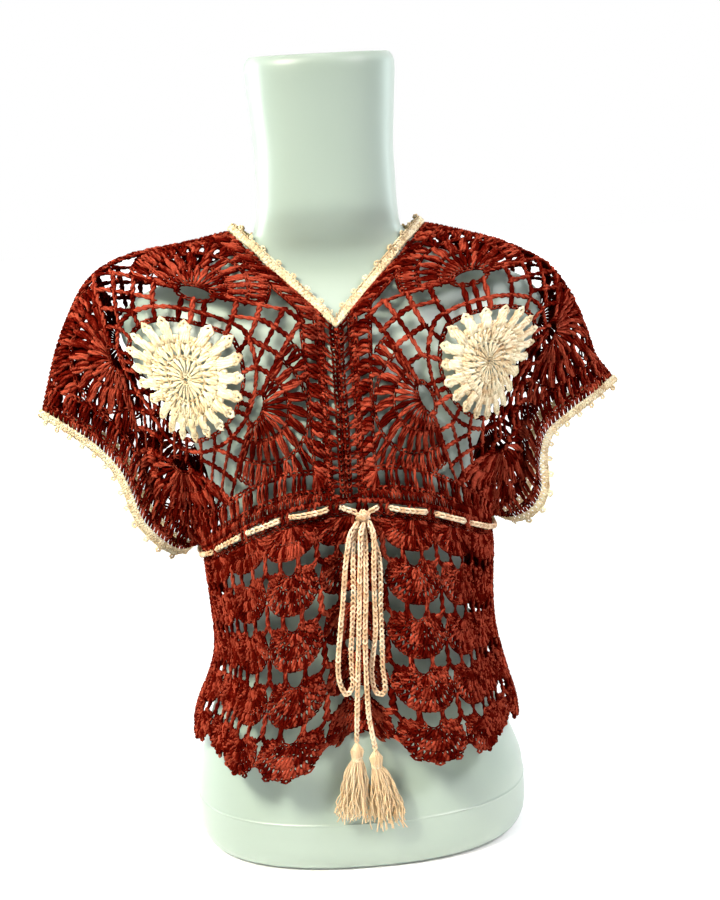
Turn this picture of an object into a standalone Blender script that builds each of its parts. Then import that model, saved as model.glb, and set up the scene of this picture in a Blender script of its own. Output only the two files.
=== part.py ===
"""Crochet top on a limbless dress form. Metres, +Z up, the front faces -Y, the form stands on Z = 0."""

import math

import bmesh
import bpy
import numpy as np
from mathutils import Vector
from mathutils.bvhtree import BVHTree
from mathutils.geometry import delaunay_2d_cdt

for old in list(bpy.data.objects):
    bpy.data.objects.remove(old)

# Driving sizes -------------------------------------------------------------
WALL = 0.002          # thickness of the crochet cloth
SEAM = 0.0004         # gap between neighbouring pieces
CLEAR = 0.0026        # least gap between the cloth and the form
MOTIF = 0.248         # side of one square motif, as crocheted flat
FLOWER_WIDE = 0.057   # half width and half height of the cream flower in the middle of a motif
FLOWER_TALL = 0.047
MOTIF_STEPS = 15      # points along one side of a motif
KNEE = 7 / 15         # share of a motif's inner edge that lies on the neckline
EYE_AT = 0.43         # eye of each corner fan, along the half diagonal
EYE_LONG = 0.0135     # half length of the eye
EYE_WIDE = 0.0065     # half width of the eye
NET_PITCH = 0.0155    # side of one cell of the chain netting, which runs at 45 degrees to the motif
NET_HOLE = 0.0073     # half diagonal of one net hole
NET_TOP = 0.107       # corner of the netting, from the middle of the motif
NET_ROWS = 4          # rows of cells from that corner to the flower
NECK_BAND = 0.0085    # width of the cream neck edging
CUFF_BAND = 0.0080    # width of the cream sleeve edging
SEAM_HALF = 0.0125    # half width of the centre seam bands
SEAM_RIBS = 3         # rows of double crochet that stand up on a seam band
CORD_R = 0.0020       # radius of the chain drawstring
EYELET_W = 0.0100     # eyelet that the drawstring passes through
EYELET_H = 0.0085
CORD_OVER = 0.0335    # drawstring runs outside the cloth for this long,
CORD_UNDER = 0.0125   # then inside for this long
REPEATS = 18          # shell repeats round the lower body
TIERS = 4             # tiers of shells from the drawstring to the hem
SCALLOPS = 36         # scallops along the hem

# Dress form: height, half width, depth to the front and to the back, and shift to the right
FORM = (
    # z      half   front  back   shift
    (0.000, 0.152, 0.107, 0.094, 0.004),
    (0.005, 0.158, 0.113, 0.099, 0.004),
    (0.018, 0.163, 0.117, 0.103, 0.004),
    (0.045, 0.163, 0.117, 0.104, 0.004),
    (0.068, 0.161, 0.112, 0.103, 0.004),
    (0.100, 0.151, 0.105, 0.101, 0.002),
    (0.145, 0.134, 0.098, 0.096, 0.000),
    (0.185, 0.123, 0.093, 0.090, 0.000),
    (0.240, 0.115, 0.088, 0.084, 0.000),
    (0.295, 0.116, 0.090, 0.080, 0.000),
    (0.345, 0.122, 0.099, 0.082, 0.000),
    (0.380, 0.129, 0.106, 0.086, 0.000),
    (0.415, 0.143, 0.109, 0.090, 0.000),
    (0.450, 0.165, 0.102, 0.092, 0.000),
    (0.480, 0.187, 0.089, 0.090, 0.000),
    (0.505, 0.198, 0.075, 0.085, 0.000),
    (0.525, 0.198, 0.062, 0.074, 0.000),
    (0.541, 0.183, 0.047, 0.057, 0.000),
    (0.555, 0.149, 0.039, 0.047, 0.000),
    (0.567, 0.114, 0.036, 0.040, 0.000),
    (0.579, 0.084, 0.037, 0.038, 0.000),
    (0.595, 0.068, 0.045, 0.046, 0.000),
    (0.618, 0.065, 0.055, 0.057, 0.001),
    (0.670, 0.064, 0.058, 0.058, 0.001),
    (0.742, 0.069, 0.062, 0.062, 0.001),
    (0.753, 0.067, 0.060, 0.060, 0.001),
)
FORM_SIDES = 36
FORM_SQUARE = 2.35    # exponent of the section, 2 is an ellipse

# Shoulder fold, where front and back panels meet, from the neck to the sleeve tip
SHOULDER = {
    # distance out x, height z
    -1: ((0.092, 0.598), (0.137, 0.588), (0.177, 0.582), (0.208, 0.572), (0.230, 0.554), (0.247, 0.525), (0.261, 0.494), (0.278, 0.441)),
    1: ((0.092, 0.596), (0.134, 0.583), (0.171, 0.569), (0.206, 0.547), (0.229, 0.514), (0.243, 0.481), (0.251, 0.459), (0.266, 0.440)),
}
# Edge of the sleeve opening, from the sleeve tip to the underarm
CUFF = {
    # out x, forward y, height z
    -1: ((0.278, 0.000, 0.441), (0.252, 0.020, 0.428), (0.225, 0.031, 0.409), (0.207, 0.036, 0.388),
         (0.197, 0.038, 0.365), (0.189, 0.037, 0.338), (0.173, 0.030, 0.315), (0.157, 0.018, 0.301)),
    1: ((0.266, 0.000, 0.440), (0.244, 0.020, 0.429), (0.217, 0.031, 0.414), (0.194, 0.036, 0.396),
        (0.187, 0.039, 0.369), (0.188, 0.038, 0.342), (0.180, 0.030, 0.322), (0.162, 0.018, 0.311)),
}
NECK_V = {"front": (-0.086, 0.514), "back": (0.078, 0.520)}    # y and z of the neck points
# Middle of the flower and the four eyes of a motif: out x, forward y, height z
KEYS = {
    "flower": (0.136, 0.086, 0.476),
    "eye_neck": (0.124, 0.066, 0.551),
    "eye_centre": (0.076, 0.108, 0.450),
    "eye_sleeve": (0.200, 0.048, 0.492),
    "eye_side": (0.148, 0.060, 0.392),
}
BACK_FLATTER = 0.92   # the back panels stand out this much of the front ones

# Soft troughs in the front and back panels: from and to in shares of the motif, half width, depth
YOKE_FOLDS = (
    # u from, v from, u to, v to, half, depth
    (0.80, 0.36, 0.97, 0.84, 0.075, 0.013),
    (0.66, 0.70, 0.86, 0.96, 0.050, 0.006),
    (0.20, 0.93, 0.42, 0.80, 0.050, 0.004),
)

# Lower body: height, half width on each side, depth front and back
LOWER = (
    # z      left   right  front  back
    (0.375, 0.139, 0.142, 0.112, 0.096),
    (0.310, 0.137, 0.142, 0.112, 0.096),
    (0.285, 0.135, 0.143, 0.113, 0.097),
    (0.240, 0.132, 0.141, 0.116, 0.100),
    (0.200, 0.131, 0.143, 0.120, 0.104),
    (0.180, 0.134, 0.147, 0.122, 0.107),
    (0.155, 0.142, 0.153, 0.125, 0.110),
    (0.125, 0.155, 0.161, 0.128, 0.114),
    (0.085, 0.161, 0.163, 0.130, 0.117),
)
LOWER_SQUARE = 2.3
TOP_SIDE = {-1: 0.301, 1: 0.311}   # height of the waist seam at each side
TOP_FRONT = 0.364
TOP_BACK = 0.352
HEM_Z = 0.113
# Folds of the lower body: angle from the left side over the front, half width, depth out (+) or in (-) at the hem,
# lift of the hem there, and how far down the fold begins
FOLDS = (
    # angle  half  depth   lift   start
    (90.0, 12.0, -0.040, 0.024, 0.00),
    (62.0, 24.0, 0.022, -0.004, 0.10),
    (118.0, 26.0, 0.020, 0.003, 0.10),
    (26.0, 13.0, -0.008, 0.000, 0.25),
    (152.0, 13.0, -0.008, 0.000, 0.25),
    (215.0, 20.0, 0.012, 0.000, 0.15),
    (248.0, 13.0, -0.010, 0.010, 0.10),
    (280.0, 22.0, 0.016, 0.000, 0.15),
    (312.0, 13.0, -0.008, 0.006, 0.20),
    (338.0, 15.0, 0.006, 0.000, 0.25),
)


# Helpers -------------------------------------------------------------------
def material(name, colour, rough):
    made = bpy.data.materials.new(name)
    made.use_nodes = True
    shader = made.node_tree.nodes["Principled BSDF"]
    shader.inputs["Base Color"].default_value = (*colour, 1.0)
    shader.inputs["Roughness"].default_value = rough
    made.diffuse_color = (*colour, 1.0)
    return made


RUST = material("rust_cotton", (0.31, 0.055, 0.030), 0.85)
CREAM = material("cream_cotton", (0.86, 0.72, 0.52), 0.85)
PEACH = material("peach_cotton", (0.85, 0.62, 0.42), 0.80)
PLASTIC = material("form_plastic", (0.62, 0.74, 0.66), 0.35)


def put(name, points, faces, look, smooth=True):
    mesh = bpy.data.meshes.new(name)
    mesh.from_pydata([tuple(map(float, p)) for p in points], [], [tuple(map(int, f)) for f in faces])
    mesh.update()
    fix = bmesh.new()
    fix.from_mesh(mesh)
    bmesh.ops.recalc_face_normals(fix, faces=fix.faces)
    fix.to_mesh(mesh)
    fix.free()
    for face in mesh.polygons:
        face.use_smooth = smooth
    made = bpy.data.objects.new(name, mesh)
    made.data.materials.append(look)
    bpy.context.scene.collection.objects.link(made)
    return made


def spline(rows, t):
    """Catmull-Rom through the rows, spaced by chord length. t is an array from 0 to 1."""
    rows = np.asarray(rows, float)
    chord = np.r_[0.0, np.cumsum(np.linalg.norm(np.diff(rows, axis=0), axis=1))]
    chord /= chord[-1]
    t = np.clip(np.asarray(t, float), 0.0, 1.0)
    k = np.clip(np.searchsorted(chord, t, side="right") - 1, 0, len(rows) - 2)
    padded = np.vstack([2 * rows[0] - rows[1], rows, 2 * rows[-1] - rows[-2]])
    f = ((t - chord[k]) / (chord[k + 1] - chord[k]))[..., None]
    a, b, c, d = padded[k], padded[k + 1], padded[k + 2], padded[k + 3]
    return 0.5 * (2 * b + (c - a) * f + (2 * a - 5 * b + 4 * c - d) * f**2 + (3 * b - a - 3 * c + d) * f**3)


def between(table, column, z):
    """Smooth value of a column at height z, for tables whose first column is z."""
    rows = np.asarray(sorted(table), float)
    z = np.clip(z, rows[0, 0], rows[-1, 0])
    k = np.clip(np.searchsorted(rows[:, 0], z, side="right") - 1, 0, len(rows) - 2)
    slope = np.gradient(rows[:, column], rows[:, 0])
    h = rows[k + 1, 0] - rows[k, 0]
    f = (z - rows[k, 0]) / h
    low, high = rows[k, column], rows[k + 1, column]
    return (
        (2 * f**3 - 3 * f**2 + 1) * low + (f**3 - 2 * f**2 + f) * h * slope[k]
        + (3 * f**2 - 2 * f**3) * high + (f**3 - f**2) * h * slope[k + 1]
    )


def oval(angle, left, right, front, back, square):
    """Section of the body. The angle runs from the left side over the front, in degrees."""
    a = np.radians(angle)
    cos, sin = np.cos(a), np.sin(a)
    wide = np.where(cos > 0, left, right)
    deep = np.where(sin > 0, front, back)
    x = -np.sign(cos) * wide * np.abs(cos) ** (2 / square)
    y = -np.sign(sin) * deep * np.abs(sin) ** (2 / square)
    return x, y


# Dress form ----------------------------------------------------------------
def even_angles(count):
    return np.arange(count) * 360.0 / count


def make_form():
    points, faces = [], []
    turn = even_angles(FORM_SIDES)
    for z, half, front, back, shift in FORM:
        x, y = oval(turn, half, half, front, back, FORM_SQUARE)
        points.extend(np.c_[x + shift, y, np.full(FORM_SIDES, z)])
    for ring in range(len(FORM) - 1):
        for i in range(FORM_SIDES):
            j = (i + 1) % FORM_SIDES
            low, high = ring * FORM_SIDES, (ring + 1) * FORM_SIDES
            faces.append((low + i, low + j, high + j, high + i))
    faces.append(tuple(range(FORM_SIDES))[::-1])
    top = (len(FORM) - 1) * FORM_SIDES
    faces.append(tuple(range(top, top + FORM_SIDES)))
    return put("dress_form", points, faces, PLASTIC)


form = make_form()
probe = bmesh.new()
probe.from_mesh(form.data)
FORM_TREE = BVHTree.FromBMesh(probe)
probe.free()


def off_form(points, least):
    """Moves each point out until it is at least this far from the form."""
    moved = []
    for point in points:
        spot = Vector(point)
        near, normal, _, _ = FORM_TREE.find_nearest(spot)
        if (spot - near).dot(normal) < least:
            spot = near + normal * least
        moved.append(tuple(spot))
    return np.array(moved)


# Lower body: a point at an angle round and a share of the way down ------------
def waist_z(angle):
    a = np.radians(angle)
    side = np.where(np.cos(a) > 0, TOP_SIDE[-1], TOP_SIDE[1])
    middle = (TOP_SIDE[-1] + TOP_SIDE[1]) / 2
    side = middle + (side - middle) * np.abs(np.cos(a)) ** 0.7
    top = np.where(np.sin(a) > 0, TOP_FRONT, TOP_BACK)
    return side + (top - side) * np.sin(a) ** 2


def fold(angle, centre, half):
    away = (np.asarray(angle) - centre + 180.0) % 360.0 - 180.0
    return np.exp(-((away / half) ** 2) * 1.6)


def lower_point(angle, down):
    angle = np.asarray(angle, float)
    down = np.asarray(down, float)
    lift = sum(up * fold(angle, at, half) for at, half, _, up, _ in FOLDS)
    z = waist_z(angle) * (1 - down) + (HEM_Z + lift) * down
    left, right, front, back = (between(LOWER, column, z) for column in (1, 2, 3, 4))
    x, y = oval(angle, left, right, front, back, LOWER_SQUARE)
    out = 0.0
    for at, half, depth, _, start in FOLDS:
        grown = np.clip((down - start) / (1 - start), 0.0, 1.0) ** 0.8
        out = out + depth * grown * fold(angle, at, half)
    length = np.hypot(x, y)
    return np.stack([x * (1 + out / length), y * (1 + out / length), z], axis=-1)


# Yoke: four square motifs, each a patch with u from the centre out and v from the shoulder down -------
def waist_angle(side, face, t):
    """Angle along the waist seam of a motif, from the centre seam (0) to the side (1)."""
    start = math.degrees(math.acos(min(1.0, (SEAM_HALF / 0.139) ** (LOWER_SQUARE / 2))))
    angle = start * (1 - np.asarray(t, float))
    if face == "back":
        angle = -angle
    return angle if side < 0 else 180.0 - angle


def patch_edges(side, face):
    sign = -1.0 if face == "front" else 1.0
    v_y, v_z = NECK_V[face]
    neck_x, neck_z = SHOULDER[side][0]
    share = SEAM_HALF / neck_x
    knee = np.array([side * SEAM_HALF, v_y * (1 - share), v_z + (neck_z - v_z) * share])
    neck = np.array([side * neck_x, 0.0, neck_z])
    foot = lower_point(waist_angle(side, face, 0.0), 0.0)
    foot[0] = side * SEAM_HALF

    def inner(t):
        t = np.asarray(t, float)[..., None]
        return np.where(t < KNEE, neck + (knee - neck) * t / KNEE, knee + (foot - knee) * (t - KNEE) / (1 - KNEE))

    def shoulder(t):
        flat = spline(SHOULDER[side], t)
        return np.stack([side * flat[..., 0], np.zeros(len(flat)), flat[..., 1]], axis=-1)

    arm = lower_point(waist_angle(side, face, 1.0), 0.0)
    cuff_rows = [(side * x, sign * y, z) for x, y, z in CUFF[side]] + [tuple(arm)]

    def cuff(t):
        return spline(cuff_rows, t)

    def waist(t):
        line = lower_point(waist_angle(side, face, t), 0.0)
        line[..., 0] = np.where(np.asarray(t) <= 0, side * SEAM_HALF, line[..., 0])
        return line

    return inner, cuff, shoulder, waist


def coons(edges, u, v):
    inner, cuff, shoulder, waist = edges
    u3, v3 = u[..., None], v[..., None]
    zero, one = np.zeros(1), np.ones(1)
    corners = (inner(zero)[0], cuff(zero)[0], inner(one)[0], cuff(one)[0])
    sides = (1 - u3) * inner(v) + u3 * cuff(v)
    ends = (1 - v3) * shoulder(u) + v3 * waist(u)
    flat = (
        (1 - u3) * (1 - v3) * corners[0] + u3 * (1 - v3) * corners[1]
        + (1 - u3) * v3 * corners[2] + u3 * v3 * corners[3]
    )
    return sides + ends - flat


def swell(u, v):
    """Five shapes that vanish on the edges of a patch."""
    base = 16 * u * (1 - u) * v * (1 - v)
    a, b = 2 * u - 1, 2 * v - 1
    return np.stack([base, base * a, base * b, base * a * b, base * (a * a + b * b)], axis=-1)


KEY_UV = {
    "flower": (0.5, 0.5),
    "eye_neck": (0.5 - EYE_AT / 2, 0.5 - EYE_AT / 2),
    "eye_centre": (0.5 - EYE_AT / 2, 0.5 + EYE_AT / 2),
    "eye_sleeve": (0.5 + EYE_AT / 2, 0.5 - EYE_AT / 2),
    "eye_side": (0.5 + EYE_AT / 2, 0.5 + EYE_AT / 2),
}


def make_patch(side, face):
    """A function from (u, v) to points, through the edges and the five key points."""
    sign, reach = (-1.0, 1.0) if face == "front" else (1.0, BACK_FLATTER)
    edges = patch_edges(side, face)
    names = list(KEYS)
    uv = np.array([KEY_UV[name] for name in names])
    want = np.array([(side * KEYS[n][0], sign * reach * KEYS[n][1], KEYS[n][2]) for n in names])
    bare = coons(edges, uv[:, 0], uv[:, 1])
    weights = np.linalg.solve(swell(uv[:, 0], uv[:, 1]), want - bare)

    def patch(u, v):
        u, v = np.asarray(u, float), np.asarray(v, float)
        made = coons(edges, u, v) + swell(u, v) @ weights
        held = np.clip(12 * np.minimum(np.minimum(u, 1 - u), np.minimum(v, 1 - v)), 0, 1)
        for u0, v0, u1, v1, half, depth in YOKE_FOLDS:
            run = np.array([u1 - u0, v1 - v0])
            f = np.clip(((u - u0) * run[0] + (v - v0) * run[1]) / (run @ run), 0, 1)
            away = np.hypot(u - u0 - f * run[0], v - v0 - f * run[1])
            made[..., 1] -= sign * depth * held * np.exp(-((away / half) ** 2)) * np.sin(math.pi * (0.15 + 0.7 * f))
        return made

    return patch


PATCHES = {(side, face): make_patch(side, face) for side in (-1, 1) for face in ("front", "back")}
SIDE_NAME = {-1: "left", 1: "right"}


# Planar nets of triangles with holes ------------------------------------------
def inside(polygon, spots):
    """Which spots lie in the polygon."""
    spots = np.asarray(spots)
    x, y = spots[:, 0], spots[:, 1]
    found = np.zeros(len(spots), bool)
    for (ax, ay), (bx, by) in zip(polygon, np.roll(polygon, -1, axis=0)):
        cross = (ay > y) != (by > y)
        with np.errstate(divide="ignore", invalid="ignore"):
            at = (bx - ax) * (y - ay) / (by - ay) + ax
        found ^= cross & (x < at)
    return found


def near_edge(polygon, spots, reach):
    spots = np.asarray(spots)
    found = np.zeros(len(spots), bool)
    for a, b in zip(polygon, np.roll(polygon, -1, axis=0)):
        along = b - a
        f = np.clip(((spots - a) @ along) / (along @ along), 0, 1)[:, None]
        found |= np.linalg.norm(spots - a - f * along, axis=1) < reach
    return found


def net_of(outline, holes, step):
    """Points and triangles of a flat outline with holes, with inner points about a step apart."""
    loops = [np.asarray(outline, float)] + [np.asarray(hole, float) for hole in holes]
    low, high = loops[0].min(0), loops[0].max(0)
    across = [np.arange(low[k] + step / 2, high[k], step) for k in (0, 1)]
    inner = np.array(np.meshgrid(*across)).reshape(2, -1).T
    keep = inside(loops[0], inner)
    for loop in loops:
        keep &= ~near_edge(loop, inner, 0.45 * step)
    for loop in loops[1:]:
        keep &= ~inside(loop, inner)
    inner = inner[keep]
    spots, edges = [], []
    for loop in loops:
        first = len(spots)
        spots.extend(loop)
        edges.extend((first + i, first + (i + 1) % len(loop)) for i in range(len(loop)))
    spots.extend(inner)
    made = delaunay_2d_cdt([Vector(map(float, s)) for s in spots], edges, [], 0, 1e-7)
    flat = np.array([tuple(v) for v in made[0]])
    triangles = np.array([tuple(f) for f in made[2]])
    middles = flat[triangles].mean(axis=1)
    keep = inside(loops[0], middles)
    for loop in loops[1:]:
        keep &= ~inside(loop, middles)
    triangles = triangles[keep]
    used, index = np.unique(triangles, return_inverse=True)
    return flat[used], index.reshape(triangles.shape)


def wall_from(points, triangles, normals, thickness=WALL, raised=None):
    """A closed wall from a sheet: the outer and inner copies and the rims between them."""
    half = thickness / 2
    count = len(points)
    outer = points + normals * (half + (0 if raised is None else raised)[..., None] if raised is not None else half)
    inner = points - normals * half
    a, b, c = (points[triangles[:, k]] for k in range(3))
    facing = (np.cross(b - a, c - a) * normals[triangles[:, 0]]).sum(axis=1)
    triangles = np.where(facing[:, None] > 0, triangles, triangles[:, ::-1])
    faces = [tuple(t) for t in triangles] + [tuple(count + t[::-1]) for t in triangles]
    ends = np.concatenate([triangles[:, [0, 1]], triangles[:, [1, 2]], triangles[:, [2, 0]]])
    once = {}
    for p, q in map(tuple, ends):
        once[(p, q)] = True
    for p, q in once:
        if (q, p) not in once:
            faces.append((q, p, count + p, count + q))
    return np.vstack([outer, inner]), faces


def sheet_normals(points, triangles, towards):
    """Vertex normals of a sheet. `towards` is a rough outward direction at each point."""
    a, b, c = (points[triangles[:, k]] for k in range(3))
    flat = np.cross(b - a, c - a)
    facing = (flat * towards[triangles].mean(axis=1)).sum(axis=1)
    flat = np.where(facing[:, None] < 0, -flat, flat)
    normals = np.zeros_like(points)
    for k in range(3):
        np.add.at(normals, triangles[:, k], flat)
    return normals / np.linalg.norm(normals, axis=1)[:, None]


def unit(vectors):
    return vectors / np.linalg.norm(vectors, axis=-1)[..., None]


# Holes of one motif, in metres from its middle ------------------------------
HALF = MOTIF / 2
FLOWER_LEAN = -1      # the flower is wider along the diagonal from the sleeve to the centre


def ring(centre, long, wide, turn, count):
    a = np.arange(count) * 2 * math.pi / count + math.pi / count
    flat = np.c_[long * np.cos(a), wide * np.sin(a)]
    c, s = math.cos(turn), math.sin(turn)
    return flat @ np.array([[c, s], [-s, c]]) + centre


def motif_holes():
    holes = []
    for sx in (-1, 1):
        for sy in (-1, 1):
            at = np.array([sx, sy]) * EYE_AT * HALF
            holes.append(ring(at, EYE_LONG, EYE_WIDE, -math.pi / 4 * sx * sy, 8))
    step = NET_PITCH / math.sqrt(2)
    for quarter in range(4):
        c, s = round(math.cos(quarter * math.pi / 2)), round(math.sin(quarter * math.pi / 2))
        for row in range(NET_ROWS):
            for k in range(row + 1):
                at = np.array([NET_TOP - (row + 1) * step, (2 * k - row) * step])
                at = at @ np.array([[c, s], [-s, c]])
                holes.append(ring(at, NET_HOLE, NET_HOLE, math.pi / 4, 4))
    return holes


def to_uv(flat):
    """Motif coordinates to (u, v)."""
    return flat[:, 0] / MOTIF + 0.5, flat[:, 1] / MOTIF + 0.5


def square_outline(per_side):
    t = np.arange(per_side) / per_side * 2 - 1
    one = np.ones(per_side)
    loop = np.vstack([np.c_[t, -one], np.c_[one, t], np.c_[-t, one], np.c_[-one, -t]])
    return loop * HALF


def make_yoke(side, face):
    patch = PATCHES[side, face]
    sign = -1.0 if face == "front" else 1.0
    hole = ring(np.zeros(2), FLOWER_WIDE, FLOWER_TALL, math.pi / 4 * FLOWER_LEAN, 28)
    flat, triangles = net_of(square_outline(MOTIF_STEPS), [hole] + motif_holes(), 0.024)
    u, v = to_uv(flat)
    points = off_form(patch(u, v), CLEAR + WALL / 2)
    towards = np.tile([side * 0.25, sign, 0.45], (len(points), 1))
    normals = sheet_normals(points, triangles, towards)
    edge = 1e-4
    seamed = (u < edge) & (v > KNEE - edge)
    for mask, axis in ((v < edge, 1), (seamed, 0), (v > 1 - edge, 2)):
        normals[mask, axis] = 0.0
    normals = unit(normals)
    gap = SEAM / 2
    points[v < edge, 1] = sign * gap
    points[v > 1 - edge, 2] += gap
    points[seamed, 0] = side * (SEAM_HALF + gap)
    shell, faces = wall_from(points, triangles, normals)
    return put(f"yoke_{face}_{SIDE_NAME[side]}", shell, faces, RUST)


def make_flower(side, face):
    patch = PATCHES[side, face]
    sign = -1.0 if face == "front" else 1.0
    outline = ring(np.zeros(2), FLOWER_WIDE - SEAM, FLOWER_TALL - SEAM, math.pi / 4 * FLOWER_LEAN, 28)
    flat, triangles = net_of(outline, [], 0.021)
    u, v = to_uv(flat)
    points = off_form(patch(u, v), CLEAR + WALL / 2)
    normals = sheet_normals(points, triangles, np.tile([side * 0.25, sign, 0.3], (len(points), 1)))
    shell, faces = wall_from(points, triangles, normals)
    return put(f"flower_{face}_{SIDE_NAME[side]}", shell, faces, CREAM)


for (side, face) in PATCHES:
    make_yoke(side, face)
    make_flower(side, face)


# Lower body walls ----------------------------------------------------------------
def arc_of(angles, down):
    points = lower_point(angles, np.full(len(angles), down))
    return np.r_[0.0, np.cumsum(np.linalg.norm(np.diff(points, axis=0), axis=1))]


CORD_DOWN = 0.037
CORD_SHIFT = -0.0030   # the eyelets lie this much further round than half way between the middles
KNOT_ANGLE = 94.0
FINE = np.linspace(KNOT_ANGLE, KNOT_ANGLE + 360.0, 1441)
ARC = arc_of(FINE, CORD_DOWN)
PERIODS = round(ARC[-1] / (CORD_OVER + CORD_UNDER))
PERIOD = ARC[-1] / PERIODS


def angle_at(length):
    return np.interp(length % ARC[-1], ARC, FINE)


def crossings():
    """Lengths along the waist where the drawstring goes through the cloth, none of them over a side."""
    under = CORD_UNDER / (CORD_OVER + CORD_UNDER) * PERIOD
    middles = (np.arange(PERIODS) + 0.5) * PERIOD + CORD_SHIFT
    pairs = np.stack([middles - under / 2, middles + under / 2], axis=1)
    off_side = np.abs((angle_at(pairs) + 90.0) % 180.0 - 90.0).min(axis=1)
    return pairs[off_side > 4.0].reshape(-1)


DEG = 0.0024          # metres round for one degree, near enough for laying out
DEEP = 0.235          # metres from waist seam to hem, near enough


def lower_holes(first, last):
    holes = []
    for length in crossings():
        angle = angle_at(length) % 360.0
        if first < angle < last:
            half = EYELET_W / 2
            at = np.array([angle * DEG, CORD_DOWN * DEEP])
            slack = EYELET_H / 2
            holes.append(at + np.array([(-half, -slack), (half, -slack), (half, slack), (-half, slack)]))
    step = 360.0 / REPEATS
    for tier in range(TIERS):
        down = 0.225 + 0.205 * tier
        shift = 0.0
        for k in range(REPEATS):
            angle = (k + 0.5 + shift) * step
            if not first < angle < last:
                continue
            at = np.array([angle * DEG, down * DEEP])
            shape = ((0.0, -0.0095), (0.0064, -0.0040), (0.0060, 0.0060), (0.0, 0.0085), (-0.0060, 0.0060), (-0.0075, -0.0040))
            holes.append(at + np.array(shape))
    return holes


def make_lower(name, first, last):
    n_top, n_side = 40, 12
    across = np.linspace(first, last, n_top + 1) * DEG
    down = np.linspace(0, 1, n_side + 1)[1:-1] * DEEP
    bumps = np.linspace(first, last, SCALLOPS // 2 * 3 + 1)
    top = np.c_[across, np.zeros(n_top + 1)]
    right = np.c_[np.full(len(down), last * DEG), down]
    hem = np.c_[bumps[::-1] * DEG, np.full(len(bumps), DEEP)]
    left = np.c_[np.full(len(down), first * DEG), down[::-1]]
    outline = np.vstack([top, right, hem, left])
    flat, triangles = net_of(outline, lower_holes(first, last), 0.026)
    angle, share = flat[:, 0] / DEG, flat[:, 1] / DEEP
    points = lower_point(angle, share)
    edge = 1e-4
    at_hem = share > 1 - edge
    wave = np.abs(np.sin(np.radians(angle[at_hem] * SCALLOPS / 2)))
    points[at_hem, 2] -= 0.0055 * wave
    points = off_form(points, CLEAR + WALL / 2)
    a = np.radians(angle)
    towards = np.c_[-np.cos(a), -np.sin(a), 0 * a]
    normals = sheet_normals(points, triangles, towards)
    ends = (angle < first + edge) | (angle > last - edge)
    normals[ends, 1] = 0.0
    normals[share < edge, 2] = 0.0
    normals = unit(normals)
    points[ends, 1] = (-1 if first < 90 else 1) * SEAM / 2
    points[share < edge, 2] -= SEAM / 2
    shell, faces = wall_from(points, triangles, normals)
    return put(name, shell, faces, RUST)


make_lower("lower_front", 0.0, 180.0)
make_lower("lower_back", 180.0, 360.0)


# Centre seams: bands of double crochet rows from the neck point to the waist ----------
def make_seam(face):
    sign = -1.0 if face == "front" else 1.0
    v_y, v_z = NECK_V[face]
    neck_x, neck_z = SHOULDER[-1][0]
    rows, columns = 7, SEAM_RIBS * 2 + 1
    foot = lower_point(np.array([90.0 if face == "front" else 270.0]), np.zeros(1))[0]
    half = SEAM_HALF - SEAM / 2
    spots = []
    for i in range(rows + 1):
        for j in range(columns):
            x = (2 * j / (columns - 1) - 1) * half
            share = abs(x) / neck_x
            top = np.array([x, v_y * (1 - share), v_z + (neck_z - v_z) * share - 3 * SEAM])
            low = lower_point(np.array([90.0 + (x / 0.139) * 57.3 * (1 if face == "front" else -1) + (0 if face == "front" else 180)]), np.zeros(1))[0]
            low = np.array([x, (foot[1] + low[1]) / 2, low[2] + SEAM / 2])
            spots.append(top + (low - top) * i / rows)
    points = off_form(np.array(spots), CLEAR + WALL / 2)
    triangles = []
    for i in range(rows):
        for j in range(columns - 1):
            p, q = i * columns + j, (i + 1) * columns + j
            triangles += [(p, p + 1, q + 1), (p, q + 1, q)]
    triangles = np.array(triangles)
    normals = sheet_normals(points, triangles, np.tile([0, sign, 0.0], (len(points), 1)))
    grid = normals.reshape(rows + 1, columns, 3)
    grid[:, 0, 0] = grid[:, -1, 0] = 0.0
    grid[-1, :, 2] = 0.0
    normals = unit(grid.reshape(-1, 3))
    grid = points.reshape(rows + 1, columns, 3)
    grid[:, 0, 0], grid[:, -1, 0] = -half, half
    x = points[:, 0]
    ribs = 0.0008 * np.abs(np.sin((x / half + 1) / 2 * math.pi * SEAM_RIBS))
    shell, faces = wall_from(points, triangles, normals, raised=ribs)
    return put(f"centre_{face}_seam", shell, faces, RUST)


make_seam("front")
make_seam("back")


# Cream edgings: closed bands round the neck and the sleeve openings ----------------------
def band(name, edge, inward, normals, width, look, slack=2 * SEAM):
    """A closed band beside an edge line. The slack is its gap to the line, one number or one for each point."""
    near = edge + inward * slack
    far = edge + inward * width
    half = WALL / 2
    count = len(edge)
    rings = np.stack([near + normals * half, far + normals * half, far - normals * half, near - normals * half], axis=1)
    faces = []
    for i in range(count):
        j = (i + 1) % count
        for k in range(4):
            m = (k + 1) % 4
            faces.append((4 * i + k, 4 * i + m, 4 * j + m, 4 * j + k))
    return put(name, rings.reshape(-1, 3), faces, look)


def edge_frame(patch, u, v, sign, side, along_u):
    """Outward direction in the cloth and the cloth's normal at points on a patch edge."""
    step = 0.02
    if along_u > 0:
        across = patch(u, v) - patch(u - step, v)
    else:
        across = patch(u, v) - patch(u + step, v)
    run = patch(u, np.clip(v + step, 0, 1)) - patch(u, np.clip(v - step, 0, 1))
    run = unit(run)
    across = unit(across - (across * run).sum(-1)[:, None] * run)
    normal = np.cross(across, run)
    rough = np.array([side * 0.25, sign, 0.45])
    normal *= np.sign((normal @ rough))[:, None]
    return across, unit(normal)


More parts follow.
